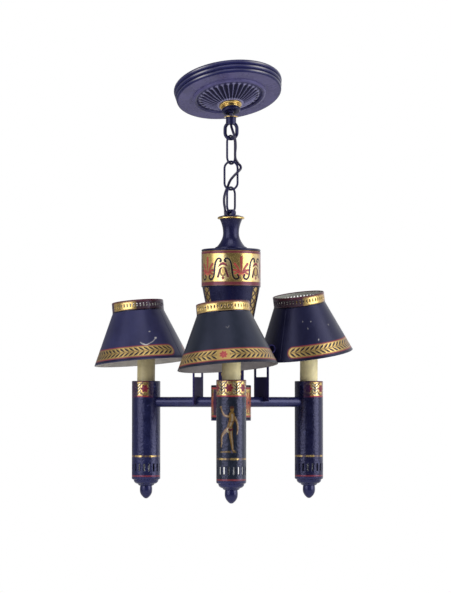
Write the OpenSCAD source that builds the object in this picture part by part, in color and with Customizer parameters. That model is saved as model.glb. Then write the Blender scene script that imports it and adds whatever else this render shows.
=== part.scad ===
// Three-light tole chandelier: canopy, chain, quiver-shaped body, three candle tubes with clip-on shades.
// Millimetres, +Z up, origin at the centre of the canopy's ceiling face, camera side towards -Y.

/* [Canopy] */
// Outside diameter of the canopy at the ceiling
canopy_d = 144; // [120:1:180]
// Height of the reeded rim
canopy_rim_h = 17; // [12:0.5:24]
// Sheet thickness of the canopy
canopy_wall = 1.5; // [1.2:0.1:2]
// How far the rim draws in towards the room
canopy_rim_draw = 3; // [2:0.5:5]
// Number of reeds round the rim
canopy_reeds = 3; // [2:1:4]
// Radius of the raised ring on the face
canopy_ring_r = 46; // [42:0.5:50]
// Wire radius of the raised ring
canopy_ring_wire = 2.4; // [1.8:0.1:3]
// Radius where the fluted centre begins
flute_outer_r = 38; // [34:0.5:40]
// Radius where the fluted centre ends
flute_inner_r = 16; // [15.5:0.5:20]
// How far the fluted centre stands out from the face
flute_rise = 10.5; // [8:0.5:13]
// Step from the face to the fluted centre's edge
flute_step = 2.5; // [1.5:0.5:4]
// Width of the slope of that step
flute_step_w = 4; // [3:0.5:5]
// Number of flutes
flute_count = 32; // [24:1:40]
// Radius of the tool that cuts a flute
flute_cut_r = 1.5; // [1:0.1:1.8]
// Backward lean of the canopy, degrees
canopy_lean = 19.4; // [0:0.1:22]
// Sideways roll of the canopy, degrees
canopy_roll = 7.3; // [0:0.1:9]

/* [Ceiling hardware] */
// Length of the crossbar
crossbar_l = 102; // [90:1:110]
// Width of the crossbar
crossbar_w = 20; // [16:1:26]
// Thickness of the crossbar
crossbar_t = 2.5; // [2:0.1:4]
// Spacing of the two crossbar screw holes
crossbar_hole_pitch = 70; // [60:1:84]
// Diameter of the crossbar screw holes
crossbar_hole_d = 5; // [4:0.1:6]
// Depth of the crossbar below the ceiling face
crossbar_inset = 0; // [0:0.5:4]
// Diameter of the threaded nipple
nipple_d = 9.6; // [9:0.1:11]
// Wall of the threaded nipple
nipple_wall = 1.5; // [1:0.1:2]
// Height of the lock nuts
nut_h = 4; // [3:0.5:6]
// Width of the lock nuts across corners
nut_d = 17; // [15:0.5:19]
// Diameter of the brass-edged collar flange
collar_d = 29.5; // [27:0.5:32]
// Thickness of the collar flange
collar_flange_h = 2.5; // [2:0.5:4]
// Outside diameter of the collar cup
collar_cup_d = 24; // [22:0.5:25]
// Height of the collar cup under its flange
collar_cup_h = 8.4; // [8.4:0.1:12]
// Diameter of the swivel ball in the collar cup
ball_d = 10; // [9.8:0.1:10]
// Clearance of the ball in its cup
ball_gap = 0.3; // [0.2:0.05:0.5]
// Diameter of the cup's mouth
cup_mouth_d = 8.8; // [8.6:0.1:9]

/* [Loop and chain] */
// Diameter of the ball's neck
ball_neck_d = 4.6; // [4.2:0.1:5]
// Diameter of the loop's stem
stem_d = 13.6; // [12:0.1:15]
// Drop from the ball's centre to the top of the stem
stem_drop = 8.4; // [8:0.1:10]
// Diameter of the lip round the stem's top
stem_lip_d = 19; // [16:0.5:19]
// Thickness of that lip
stem_lip_h = 1; // [0.8:0.1:1.5]
// Height of the loop's stem
stem_h = 10.6; // [9:0.1:13]
// Outside width of the cast loop
loop_w = 20.8; // [20:0.1:24]
// Wire diameter of the cast loop
loop_wire = 4.6; // [4:0.1:5]
// Drop from the ball's centre to the middle of the loop's bottom wire
loop_drop = 38; // [37:0.1:44]
// Outside width of a chain link
link_w = 20.8; // [20:0.1:24]
// Outside length of the two long links
link_len = 40; // [38:0.5:60]
// Outside length of the end link
end_link_len = 36.5; // [36:0.5:60]
// Wire diameter of the links
link_wire = 2.8; // [2.4:0.1:3]
// Clearance between links
link_gap = 0.3; // [0.2:0.05:0.5]
// Plane of the loop and the second link, degrees from +X
link_turn_a = -17; // [-20:1:-14]
// Plane of the first and the end link, degrees from +X
link_turn_b = 55; // [52:1:64]
// Diameter of the lead woven through the chain
lead_d = 3.4; // [2.6:0.1:3.4]

/* [Body] */
// Thickness of the hanging eye
eye_t = 5; // [4:0.1:6]
// Width of the hanging eye
eye_w = 12.5; // [11:0.1:14]
// Diameter of the hole in the hanging eye
eye_hole_d = 5; // [4.6:0.1:5.4]
// Metal above the hole in the hanging eye
eye_crown = 2.2; // [1.8:0.1:3]
// Height of the end link's wire above the flange
eye_rise = 3.2; // [3:0.1:5]
// Length of the eye's threaded shank below the flange
shank_l = 6; // [5:0.5:8]
// Diameter of the neck flange
flange_d = 35.7; // [33:0.1:40]
// Thickness of the neck flange
flange_h = 5.2; // [4:0.1:7]
// Height of the neck
neck_h = 39.8; // [34:0.1:50]
// Diameter at the top of the neck
neck_top_d = 30; // [28:0.5:32]
// Diameter at the waist of the neck
neck_waist_d = 21; // [19:0.5:24]
// Diameter at the bottom of the neck's flare
neck_flare_d = 38; // [34:0.5:42]
// Diameter of the neck's foot
neck_foot_d = 42; // [40:0.5:48]
// Height of the neck's foot
neck_foot_h = 3; // [2:0.5:5]
// Bore of the neck
neck_bore_d = 14; // [12:0.5:16]
// Diameter of the drum
drum_d = 78; // [70:0.5:90]
// Height of the drum
drum_h = 50; // [40:0.5:70]
// Step from the drum in to the top of the cone
cone_step = 1; // [0.5:0.1:1]
// Height of the cone
cone_h = 129; // [110:1:160]
// Diameter of the cone's bottom
cone_bottom_d = 26; // [22:0.5:32]
// Diameter of the hub
hub_d = 52.5; // [48:0.5:60]
// Height of the hub
hub_h = 44; // [38:0.5:54]
// Sheet thickness of the body
body_wall = 1.4; // [1.2:0.1:1.8]
// Thickness of the hub's bottom plate
hub_cap_h = 2.5; // [2:0.1:4]
// Diameter of the centre rod
rod_d = 9.6; // [9:0.1:11]
// Length of thread below the hub's bottom nut
rod_tail = 3; // [2:0.5:6]

/* [Arms and candles] */
// Distance from the centre to each candle
arm_reach = 126; // [116:1:150]
// Outside diameter of an arm tube
arm_d = 13.5; // [12:0.1:15]
// Wall of an arm tube
arm_wall = 1.5; // [1:0.1:2]
// Diameter of a candle tube
tube_d = 38; // [36:0.5:44]
// Length of a candle tube
tube_h = 128; // [115:1:160]
// Height of a candle tube's top above the arm
tube_rise = 28; // [22:0.5:36]
// Wall of a candle tube
tube_wall = 1.2; // [1:0.1:1.5]
// Number of vent slots round a candle tube
vent_count = 18; // [12:2:24]
// Width of a vent slot
vent_w = 2.3; // [1.5:0.1:3]
// Height of a vent slot
vent_h = 10; // [6:0.5:14]
// Height of the vent slots above the tube's bottom
vent_rise = 8; // [5:0.5:14]
// Height of the domed cap under a candle tube
cap_h = 11.5; // [9:0.5:15]
// Step in from the cap's rim to its dome
cap_step = 1.5; // [1:0.1:2.5]
// Diameter of the finial
finial_d = 16.4; // [14:0.1:19]
// Height of the finial
finial_h = 17; // [14:0.5:22]
// Outside diameter of a candle sleeve
sleeve_d = 24; // [22:0.5:25]
// Wall of a candle sleeve
sleeve_wall = 1.2; // [0.8:0.1:1.5]
// Height of the lowest sleeve's top above its tube
sleeve_rise = 30; // [24:0.5:36]
// Depth of a candle sleeve inside its tube
sleeve_depth = 16; // [10:0.5:17]
// Extra height of the front, right and left candles
candle_lift = [0, 20, 9]; // [0:1:22]
// Height of a lamp socket
socket_h = 36; // [30:1:42]
// Thickness of a lamp socket's floor
socket_floor = 6; // [4:0.5:8]
// Clearance under a bulb's base
socket_seat = 1; // [0.5:0.1:2]
// Diameter of the threaded stem under a socket
socket_stem_d = 9.6; // [9:0.1:10.5]

/* [Bulbs and shades] */
// Diameter of a bulb's bulge
bulb_d = 31; // [28:0.5:33]
// Height of the bulge's centre above the sleeve's top
bulb_rise = 20; // [18:0.5:24]
// Height of the bulb's tip above the bulge's centre
bulb_tip = 28; // [24:0.5:30]
// Diameter of the bulb's base
bulb_base_d = 12; // [11:0.1:13]
// Width of a bulb clip's spring strip
clip_w = 3.5; // [3:0.1:5]
// Thickness of a bulb clip's spring strip
clip_t = 0.8; // [0.6:0.1:1.2]
// Clearance of a bulb clip round its bulb
clip_gap = 0.3; // [0.2:0.05:0.5]
// Diameter of the clip's post
post_d = 4; // [3.6:0.1:5]
// Running clearance of a shade on its post
post_gap = 0.05; // [0.02:0.01:0.1]
// Clearance of a shade's hub on the post's shoulder
seat_gap = 0.1; // [0.05:0.01:0.3]
// Diameter of a shade's base
shade_base_d = 128; // [118:1:140]
// Diameter of a shade's gallery
shade_top_d = 69; // [64:1:76]
// Height of a shade without its gallery
shade_h = 68; // [60:1:76]
// Height of the pierced gallery
gallery_h = 14; // [11:0.5:18]
// Sheet thickness of a shade
shade_wall = 1; // [0.8:0.1:1.4]
// Number of holes in the gallery
gallery_holes = 48; // [36:2:52]
// Diameter of a gallery hole
gallery_hole_d = 2.8; // [2:0.1:3.2]
// Height of a bulb's bulge above the shade's base
shade_drop = 34; // [30:0.5:38]
// Diameter of the wires that hold a shade's hub
spider_wire = 2; // [1.6:0.1:2.6]
// Diameter of a shade's hub
spider_hub_d = 12; // [10:0.5:14]
// Height of a shade's hub
spider_hub_h = 3; // [2.5:0.1:4]
// How far the front, right and left shades sit beside their bulbs
shade_shift = [7, 8.5, 8]; // [0:0.5:10]
// Tilt of the front, right and left shades about X, degrees
shade_tilt_x = [-4.3, 8, -2.7]; // [-8:0.1:8]
// Tilt of the front, right and left shades about Y, degrees
shade_tilt_y = [-4.2, -7, -4.6]; // [-8:0.1:8]

/* [Scroll straps] */
// Distance from a candle back to its strap's inner face
strap_back = 78; // [76:0.5:84]
// Width of a strap
strap_w = 33; // [26:0.5:36]
// Sheet thickness of a strap
strap_t = 1.4; // [1:0.1:2]
// Height of a strap's top above the arm
strap_top = 76; // [66:0.5:80]
// Depth of a strap below the arm's axis
strap_foot = 9; // [8.5:0.5:12]
// Height where the open window begins
window_low = 33; // [24:0.5:40]
// Height of the open window
window_h = 25; // [16:0.5:30]
// Width of the bars beside the window
window_bar = 3.6; // [3:0.1:6]
// Outside radius of the curl
curl_r = 6; // [4:0.1:7]

/* [Hidden] */
$fn = 64;
thread_gap = 0.05;
slip_gap = 0.15;
nut_sides = 6;
nut_land = 2.5;
thread_end = 1;
overcut = 1;
NAMES = ["front", "right", "left"];
ANGLES = [-90, 34, 154];

// Canopy heights, measured down the canopy's own axis
face_z = -canopy_rim_h;
flute_base_z = face_z - flute_step;
boss_z = flute_base_z - flute_rise;
boss_hole_d = nipple_d + 2 * slip_gap;
crossbar_top_z = -crossbar_inset;
crossbar_z = crossbar_top_z - crossbar_t;
collar_bottom_z = boss_z - collar_flange_h - collar_cup_h;
ball_z = collar_bottom_z + sqrt(pow(ball_d / 2 + ball_gap, 2) - pow(cup_mouth_d / 2, 2));
nipple_low_z = boss_z - collar_flange_h;
nipple_high_z = crossbar_top_z - slip_gap;

// Axis of the canopy, and the swivel point under it
canopy_axis = [
  -cos(canopy_lean) * sin(canopy_roll),
  sin(canopy_lean),
  cos(canopy_lean) * cos(canopy_roll)
];
pivot = ball_z * canopy_axis;

// Heights down the chain, from the swivel point
loop_centre_r = (loop_w - loop_wire) / 2;
link_centre_r = (link_w - link_wire) / 2;
link_step = link_wire + link_gap;
link_1_top = -loop_drop + (loop_wire + link_wire) / 2 + link_gap;
link_1_low = link_1_top - link_len + link_wire;
link_2_top = link_1_low + link_step;
link_2_low = link_2_top - link_len + link_wire;
link_3_top = link_2_low + link_step;
link_3_low = link_3_top - end_link_len + link_wire;

// Heights down the body, from the swivel point
flange_top = link_3_low - eye_rise;
neck_top = flange_top - flange_h;
drum_top = neck_top - neck_h;
cone_top = drum_top - drum_h;
hub_top = cone_top - cone_h;
hub_low = hub_top - hub_h;
arm_z = hub_top - hub_h / 2;
shank_low = neck_top - shank_l;
lead_hole_d = lead_d + 4 * slip_gap;

// Candle heights, from the arm's axis
tube_low = tube_rise - tube_h;
sleeve_low = tube_rise - sleeve_depth;
function sleeve_top(i) = tube_rise + sleeve_rise + candle_lift[i];
function bulge_z(i) = sleeve_top(i) + bulb_rise;
function candle_at(i) = arm_reach * [cos(ANGLES[i]), sin(ANGLES[i]), 0];
sleeve_bore_d = sleeve_d - 2 * sleeve_wall;
socket_d = sleeve_bore_d - 2 * slip_gap;
stem_low = tube_low - cap_h;
arm_hole_d = arm_d + 2 * thread_gap;
tube_inner_r = tube_d / 2 - tube_wall;
nut_arm_d = arm_d + 2 * nut_land;
candle_nut_face = sqrt(pow(tube_inner_r, 2) - pow(nut_arm_d / 2, 2)) - thread_gap;
hub_nut_face = sqrt(pow(hub_d / 2 - body_wall, 2) - pow(nut_arm_d / 2, 2)) - thread_gap;
arm_inner_r = hub_nut_face - nut_h - thread_end;
arm_outer_r = arm_reach - candle_nut_face + nut_h + thread_end;

// Radius of a strap's inner face, from the centre
strap_r = arm_reach - strap_back;

// Shade heights, from the bulge's centre
tip_gap = 1.5;
post_shoulder = 3.5;
spider_z = bulb_tip + tip_gap + post_shoulder;
post_low = bulb_tip + tip_gap;
post_cap_gap = 0.3;
post_cap_h = 3;
post_step = 1.5;
post_cap_over = 0.5;

// Route of the lead, from the swivel point: out of the stem, beside link 1, round link 2, beside link 3
lead_points = [
  [0, 0, -14], [0, 0, -18.5], [0.6, -1.6, -22.5], [2, -5, -27.5], [4, -8, -34], [5.6, -8.4, -41.5],
  [6, -5, -49.5], [5.4, -1, -57.5], [6, 0.8, -64.5], [9, 2, -70], [12.4, -0.2, -74],
  [12.6, -5, -78], [9, -8, -82.5], [4, -7, -87.5], [0, -3.4, -92], [-2.4, 1.4, -96],
  [-4.4, 6.2, -101], [-7, 7.6, -107], [-9, 4.6, -115.5], [-9, 0.6, -123.5], [-8, -2.2, -130.5]
];
lead_end = [-7.6, -3, 0];
lead_rise = 2;
lead_tail = 2;
lead_head = 0.5;
lead_sides = 8;
lead_steps = 3;

module tilted() {
  rotate([-canopy_lean, -canopy_roll, 0]) children();
}

module hung() {
  translate(pivot) children();
}

module at_arms() {
  hung() translate([0, 0, arm_z]) children();
}

module at_candle(i) {
  at_arms() translate(candle_at(i)) rotate([0, 0, ANGLES[i]]) children();
}

module at_bulge(i) {
  at_arms()
    translate(candle_at(i) + [0, 0, bulge_z(i)])
      rotate([shade_tilt_x[i], shade_tilt_y[i], 0]) children();
}

module at_shade(i) {
  at_bulge(i) translate([-shade_shift[i], 0, 0]) rotate([0, 0, ANGLES[i]]) children();
}

module hex_nut(bore_d) {
  difference() {
    cylinder(h = nut_h, d = nut_d, $fn = nut_sides);
    translate([0, 0, -overcut]) cylinder(h = nut_h + 2 * overcut, d = bore_d + 2 * thread_gap);
  }
}

// Oval wire ring in the XZ plane, its end wires' middles at top_z and low_z
module wire_link(top_z, low_z, centre_r, wire_d) {
  straight = top_z - low_z - 2 * centre_r;
  for (end = [1, -1]) {
    translate([0, 0, end > 0 ? top_z - centre_r : low_z + centre_r])
      rotate([90, 0, 0]) rotate([0, 0, end > 0 ? 0 : 180])
        rotate_extrude(angle = 180) translate([centre_r, 0]) circle(d = wire_d, $fn = 32);
    translate([end * centre_r, 0, low_z + centre_r]) cylinder(h = straight, d = wire_d, $fn = 32);
  }
}

// Canopy outline: reeded rim, face, raised ring and cone, as points of radius and height
function rim_point(k) =
  [canopy_d / 2 - canopy_rim_draw * floor(k / 2) / canopy_reeds, -canopy_rim_h * ceil(k / 2) / canopy_reeds];

module canopy_shell() {
  slope = atan2(flute_rise, flute_outer_r - flute_inner_r);
  inner_d = canopy_d - 2 * canopy_rim_draw - 2 * canopy_wall;
  color("#2c2a4e")
    tilted()
      difference() {
        union() {
          rotate_extrude($fn = 128)
            polygon(concat(
              [for (k = [0:2 * canopy_reeds - 1]) rim_point(k)],
              [
                [canopy_d / 2 - canopy_rim_draw * (canopy_reeds - 1) / canopy_reeds, face_z],
                [flute_outer_r + flute_step_w, face_z],
                [flute_outer_r, flute_base_z],
                [flute_inner_r, boss_z],
                [boss_hole_d / 2, boss_z],
                [boss_hole_d / 2, boss_z + canopy_wall],
                [flute_inner_r - 1, boss_z + canopy_wall],
                [flute_outer_r - 1, flute_base_z + canopy_wall],
                [flute_outer_r + flute_step_w - 1, face_z + canopy_wall],
                [inner_d / 2, face_z + canopy_wall],
                [inner_d / 2, 0]
              ]
            ));
          translate([0, 0, face_z])
            rotate_extrude($fn = 128)
              translate([canopy_ring_r, 0])
                intersection() {
                  circle(r = canopy_ring_wire, $fn = 32);
                  translate([-canopy_ring_wire, -canopy_ring_wire])
                    square([2 * canopy_ring_wire, canopy_ring_wire + canopy_wall / 2]);
                }
        }
        for (k = [0:flute_count - 1])
          rotate([0, 0, k * 360 / flute_count])
            translate([flute_outer_r - 1, 0, flute_base_z - flute_cut_r * 0.6])
              rotate([0, -90 - slope, 0])
                cylinder(h = (flute_outer_r - flute_inner_r - 3) / cos(slope), r = flute_cut_r, $fn = 16);
      }
}

module crossbar() {
  color("#8c8c8c")
    tilted()
      translate([0, 0, crossbar_z])
        difference() {
          translate([-crossbar_l / 2, -crossbar_w / 2, 0]) cube([crossbar_l, crossbar_w, crossbar_t]);
          translate([0, 0, -overcut]) cylinder(h = crossbar_t + 2 * overcut, d = nipple_d + 2 * thread_gap);
          for (side = [-1, 1])
            translate([side * crossbar_hole_pitch / 2, 0, -overcut])
              cylinder(h = crossbar_t + 2 * overcut, d = crossbar_hole_d);
        }
}

module nipple() {
  color("#b8a060")
    tilted()
      difference() {
        translate([0, 0, nipple_low_z]) cylinder(h = nipple_high_z - nipple_low_z, d = nipple_d);
        translate([0, 0, nipple_low_z - overcut])
          cylinder(h = nipple_high_z - nipple_low_z + 2 * overcut, d = nipple_d - 2 * nipple_wall);
      }
}

module locknut() {
  color("#b8a060") tilted() translate([0, 0, crossbar_z - nut_h]) hex_nut(nipple_d);
}

module collar_ring() {
  color("#b8963c")
    tilted()
      difference() {
        union() {
          translate([0, 0, boss_z - collar_flange_h]) cylinder(h = collar_flange_h, d = collar_d);
          translate([0, 0, collar_bottom_z]) cylinder(h = collar_cup_h, d = collar_cup_d);
        }
        translate([0, 0, boss_z - collar_flange_h])
          cylinder(h = collar_flange_h + overcut, d = nipple_d + 2 * thread_gap);
        translate([0, 0, ball_z]) sphere(d = ball_d + 2 * ball_gap);
        translate([0, 0, collar_bottom_z - overcut])
          cylinder(h = ball_z - collar_bottom_z + overcut, d = cup_mouth_d);
      }
}

module collar_loop() {
  color("#241f33")
    hung()
      difference() {
        union() {
          sphere(d = ball_d);
          translate([0, 0, -stem_drop - 1]) cylinder(h = stem_drop, d = ball_neck_d);
          translate([0, 0, -stem_drop - stem_h]) cylinder(h = stem_h, d = stem_d);
          translate([0, 0, -stem_drop - stem_lip_h]) cylinder(h = stem_lip_h, d = stem_lip_d);
          rotate([0, 0, link_turn_a])
            wire_link(-stem_drop - stem_h + loop_wire / 2, -loop_drop, loop_centre_r, loop_wire);
        }
        translate([0, 0, lead_points[0].z + lead_head])
          mirror([0, 0, 1]) cylinder(h = stem_drop + stem_h, d = lead_hole_d);
      }
}

module chain_link(top_z, low_z, turn) {
  color("#241f33") hung() rotate([0, 0, turn]) wire_link(top_z, low_z, link_centre_r, link_wire);
}

module chain_link_1() { chain_link(link_1_top, link_1_low, link_turn_b); }
module chain_link_2() { chain_link(link_2_top, link_2_low, link_turn_a); }
module chain_link_3() { chain_link(link_3_top, link_3_low, link_turn_b); }

// Smooth curve through points, by the uniform Catmull-Rom rule
function curve_point(a, b, c, d, t) =
  0.5 * (2 * b + (c - a) * t + (2 * a - 5 * b + 4 * c - d) * t * t + (3 * b - a - 3 * c + d) * t * t * t);
function curve(points, steps) = concat(
  [
    for (k = [0:len(points) - 2], s = [0:steps - 1])
      curve_point(
        points[max(k - 1, 0)], points[k], points[k + 1], points[min(k + 2, len(points) - 1)], s / steps
      )
  ],
  [points[len(points) - 1]]
);
function unit(v) = v / norm(v);
function tangent(path, k) = unit(path[min(k + 1, len(path) - 1)] - path[max(k - 1, 0)]);

// Closed round tube along a path that runs mainly downwards
module swept_tube(path, d, sides) {
  rings = len(path);
  points = [
    for (k = [0:rings - 1])
      let (along = tangent(path, k), across = unit(cross(along, [0, 1, 0.01])), up = cross(across, along))
        for (s = [0:sides - 1])
          path[k] + d / 2 * (cos(s * 360 / sides) * across + sin(s * 360 / sides) * up)
  ];
  walls = [
    for (k = [0:rings - 2], s = [0:sides - 1], half = [0, 1])
      let (a = k * sides + s, b = k * sides + (s + 1) % sides)
        half == 0 ? [a, b, a + sides] : [b, b + sides, a + sides]
  ];
  top_face = [for (s = [1:sides - 2]) [0, s + 1, s]];
  low_face = [for (s = [1:sides - 2]) (rings - 1) * sides * [1, 1, 1] + [0, s, s + 1]];
  polyhedron(points = points, faces = concat(walls, top_face, low_face));
}

module lead() {
  route = concat(
    lead_points,
    [[lead_end.x, lead_end.y, flange_top + lead_rise], [lead_end.x, lead_end.y, neck_top - lead_tail]]
  );
  color("#1a1726") hung() swept_tube(curve(route, lead_steps), lead_d, lead_sides);
}

module hanging_eye() {
  eye_hole_z = link_3_low - (eye_hole_d / 2 - link_wire / 2 - link_gap) / 2;
  eye_top = eye_hole_z + eye_hole_d / 2 + eye_crown;
  color("#241f33")
    hung()
      rotate([0, 0, link_turn_b]) {
        difference() {
          intersection() {
            translate([-eye_t / 2, -eye_w / 2, flange_top]) cube([eye_t, eye_w, eye_top - flange_top]);
            translate([0, 0, eye_hole_z])
              rotate([0, 90, 0]) cylinder(h = eye_t, r = eye_w / 2, center = true);
          }
          translate([0, 0, eye_hole_z])
            rotate([0, 90, 0]) cylinder(h = eye_t + overcut, d = eye_hole_d, center = true);
        }
        translate([0, 0, shank_low]) cylinder(h = flange_top - shank_low, d = rod_d);
      }
}

module neck_flange() {
  color("#b8963c")
    hung()
      difference() {
        translate([0, 0, neck_top]) cylinder(h = flange_h, d = flange_d);
        translate([0, 0, neck_top - overcut])
          cylinder(h = flange_h + 2 * overcut, d = rod_d + 2 * thread_gap);
        translate([lead_end.x, lead_end.y, neck_top - overcut])
          cylinder(h = flange_h + 2 * overcut, d = lead_hole_d);
      }
}

// Half-width of the neck at a share of its curved height, from the top down
neck_waist_share = 0.5;
function neck_r(t) = t < neck_waist_share
  ? neck_waist_d / 2 + (neck_top_d - neck_waist_d) / 2 * pow(1 - t / neck_waist_share, 2)
  : neck_waist_d / 2 + (neck_flare_d - neck_waist_d) / 2
    * pow((t - neck_waist_share) / (1 - neck_waist_share), 2);

module neck() {
  curved_h = neck_h - neck_foot_h;
  mouth_d = neck_top_d - 2 * body_wall;
  mouth_h = 5;
  steps = 12;
  color("#241f33")
    hung()
      difference() {
        rotate_extrude()
          polygon(concat(
            [[0, drum_top], [neck_foot_d / 2, drum_top], [neck_foot_d / 2, drum_top + neck_foot_h]],
            [for (k = [steps:-1:0]) [neck_r(k / steps), neck_top - curved_h * k / steps]],
            [[0, neck_top]]
          ));
        translate([0, 0, drum_top - overcut]) cylinder(h = neck_h + 2 * overcut, d = neck_bore_d);
        translate([0, 0, neck_top - mouth_h]) cylinder(h = mouth_h + overcut, d1 = neck_bore_d, d2 = mouth_d);
      }
}

module drum() {
  color("#c9a64a")
    hung()
      difference() {
        translate([0, 0, cone_top]) cylinder(h = drum_h, d = drum_d, $fn = 96);
        translate([0, 0, cone_top - overcut])
          cylinder(h = drum_h - body_wall + overcut, d = drum_d - 2 * body_wall, $fn = 96);
        translate([0, 0, drum_top - body_wall - overcut])
          cylinder(h = body_wall + 2 * overcut, d = rod_d + 2 * slip_gap);
      }
}

module cone() {
  cone_top_d = drum_d - 2 * cone_step;
  color("#241f33")
    hung()
      difference() {
        translate([0, 0, hub_top]) cylinder(h = cone_h, d1 = cone_bottom_d, d2 = cone_top_d, $fn = 96);
        translate([0, 0, hub_top + body_wall])
          cylinder(
            h = cone_h, d1 = cone_bottom_d - 2 * body_wall,
            d2 = cone_top_d - 2 * body_wall + (cone_top_d - cone_bottom_d) * body_wall / cone_h, $fn = 96
          );
        translate([0, 0, hub_top - overcut]) cylinder(h = body_wall + 2 * overcut, d = rod_d + 2 * slip_gap);
      }
}

module hub() {
  color("#c9a64a")
    hung()
      difference() {
        translate([0, 0, hub_low]) cylinder(h = hub_h, d = hub_d);
        translate([0, 0, hub_low - overcut])
          cylinder(h = hub_h - body_wall + overcut, d = hub_d - 2 * body_wall);
        translate([0, 0, hub_top - body_wall - overcut])
          cylinder(h = body_wall + 2 * overcut, d = rod_d + 2 * slip_gap);
        for (a = ANGLES)
          translate([0, 0, arm_z]) rotate([0, 90, a]) cylinder(h = hub_d, d = arm_hole_d);
      }
}

module hub_cap() {
  color("#241f33")
    hung()
      difference() {
        translate([0, 0, hub_low - hub_cap_h]) cylinder(h = hub_cap_h, d = hub_d);
        translate([0, 0, hub_low - hub_cap_h - overcut])
          cylinder(h = hub_cap_h + 2 * overcut, d = rod_d + 2 * slip_gap);
      }
}

module centre_rod() {
  rod_low = hub_low - hub_cap_h - nut_h - rod_tail;
  color("#b8a060") hung() translate([0, 0, rod_low]) cylinder(h = shank_low - rod_low, d = rod_d);
}

module rod_nut() {
  color("#b8963c") hung() translate([0, 0, hub_low - hub_cap_h - nut_h]) hex_nut(rod_d);
}

module ring_nut(from_r) {
  translate([from_r, 0, 0])
    rotate([0, 90, 0])
      difference() {
        cylinder(h = nut_h, d = nut_arm_d);
        translate([0, 0, -overcut]) cylinder(h = nut_h + 2 * overcut, d = arm_hole_d);
      }
}

module arm_nuts() {
  color("#b8a060")
    at_arms()
      for (a = ANGLES)
        rotate([0, 0, a]) {
          ring_nut(hub_nut_face - nut_h);
          ring_nut(arm_reach - candle_nut_face);
        }
}

module arm(i) {
  color("#241f33")
    at_arms()
      rotate([0, 90, ANGLES[i]])
        difference() {
          translate([0, 0, arm_inner_r]) cylinder(h = arm_outer_r - arm_inner_r, d = arm_d);
          translate([0, 0, arm_inner_r - overcut])
            cylinder(h = arm_outer_r - arm_inner_r + 2 * overcut, d = arm_d - 2 * arm_wall);
        }
}

module candle_tube(i) {
  color("#241f33")
    at_candle(i)
      difference() {
        translate([0, 0, tube_low]) cylinder(h = tube_h, d = tube_d);
        translate([0, 0, tube_low - overcut])
          cylinder(h = tube_h - tube_wall + overcut, d = tube_d - 2 * tube_wall);
        translate([0, 0, tube_rise - tube_wall - overcut])
          cylinder(h = tube_wall + 2 * overcut, d = sleeve_d + 2 * slip_gap);
        rotate([0, -90, 0]) cylinder(h = tube_d, d = arm_hole_d);
        for (k = [0:vent_count / 2 - 1])
          rotate([0, 0, (k + 0.5) * 360 / vent_count])
            translate([-tube_d, -vent_w / 2, tube_low + vent_rise]) cube([2 * tube_d, vent_w, vent_h]);
      }
}

module bottom_cap(i) {
  step_h = cap_h / 4;
  color("#241f33")
    at_candle(i)
      difference() {
        rotate_extrude()
          polygon(concat(
            [[0, tube_low], [tube_d / 2, tube_low], [tube_d / 2, tube_low - step_h]],
            [
              for (k = [0:6])
                let (a = k * 15)
                  [
                    finial_d / 2 + (tube_d / 2 - cap_step - finial_d / 2) * cos(a),
                    tube_low - step_h - (cap_h - step_h) * sin(a)
                  ]
            ],
            [[0, tube_low - cap_h]]
          ));
        translate([0, 0, stem_low - overcut])
          cylinder(h = cap_h + 2 * overcut, d = socket_stem_d + 2 * slip_gap);
      }
}

// Acorn outline of the finial, as shares of its half-width and height
finial_shape = [[0, 0], [0.95, 0], [1, -0.12], [1, -0.4], [0.9, -0.6], [0.68, -0.78], [0.36, -0.93], [0, -1]];

module finial(i) {
  color("#241f33")
    at_candle(i)
      translate([0, 0, stem_low])
        rotate_extrude()
          polygon([for (p = finial_shape) [p.x * finial_d / 2, p.y * finial_h]]);
}

module socket_stem(i) {
  color("#b8a060")
    at_candle(i)
      translate([0, 0, stem_low])
        cylinder(h = sleeve_top(i) - socket_h - stem_low, d = socket_stem_d);
}

module candle_sleeve(i) {
  color("#d8cf9c")
    at_candle(i)
      difference() {
        translate([0, 0, sleeve_low]) cylinder(h = sleeve_top(i) - sleeve_low, d = sleeve_d);
        translate([0, 0, sleeve_low - overcut])
          cylinder(h = sleeve_top(i) - sleeve_low + 2 * overcut, d = sleeve_bore_d);
      }
}

module socket(i) {
  color("#3a3432")
    at_candle(i)
      translate([0, 0, sleeve_top(i) - socket_h])
        difference() {
          cylinder(h = socket_h, d = socket_d);
          translate([0, 0, socket_floor]) cylinder(h = socket_h, d = bulb_base_d + 2 * slip_gap);
        }
}

module bulb(i) {
  r = bulb_d / 2;
  base_low = -bulb_rise - socket_h + socket_floor + socket_seat;
  low_a = asin((bulb_base_d / 2 + 1) / r);
  color("#f2ead0")
    at_candle(i)
      translate([0, 0, bulge_z(i)])
        rotate_extrude()
          polygon(concat(
            [[0, base_low], [bulb_base_d / 2, base_low], [bulb_base_d / 2, -bulb_rise + 0.5]],
            [for (k = [0:10]) let (a = -90 + low_a + k * (90 - low_a + 40) / 10) [r * cos(a), r * sin(a)]],
            [[r * 0.42, r + (bulb_tip - r) * 0.35], [r * 0.16, bulb_tip - 2], [0, bulb_tip]]
          ));
}

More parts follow.
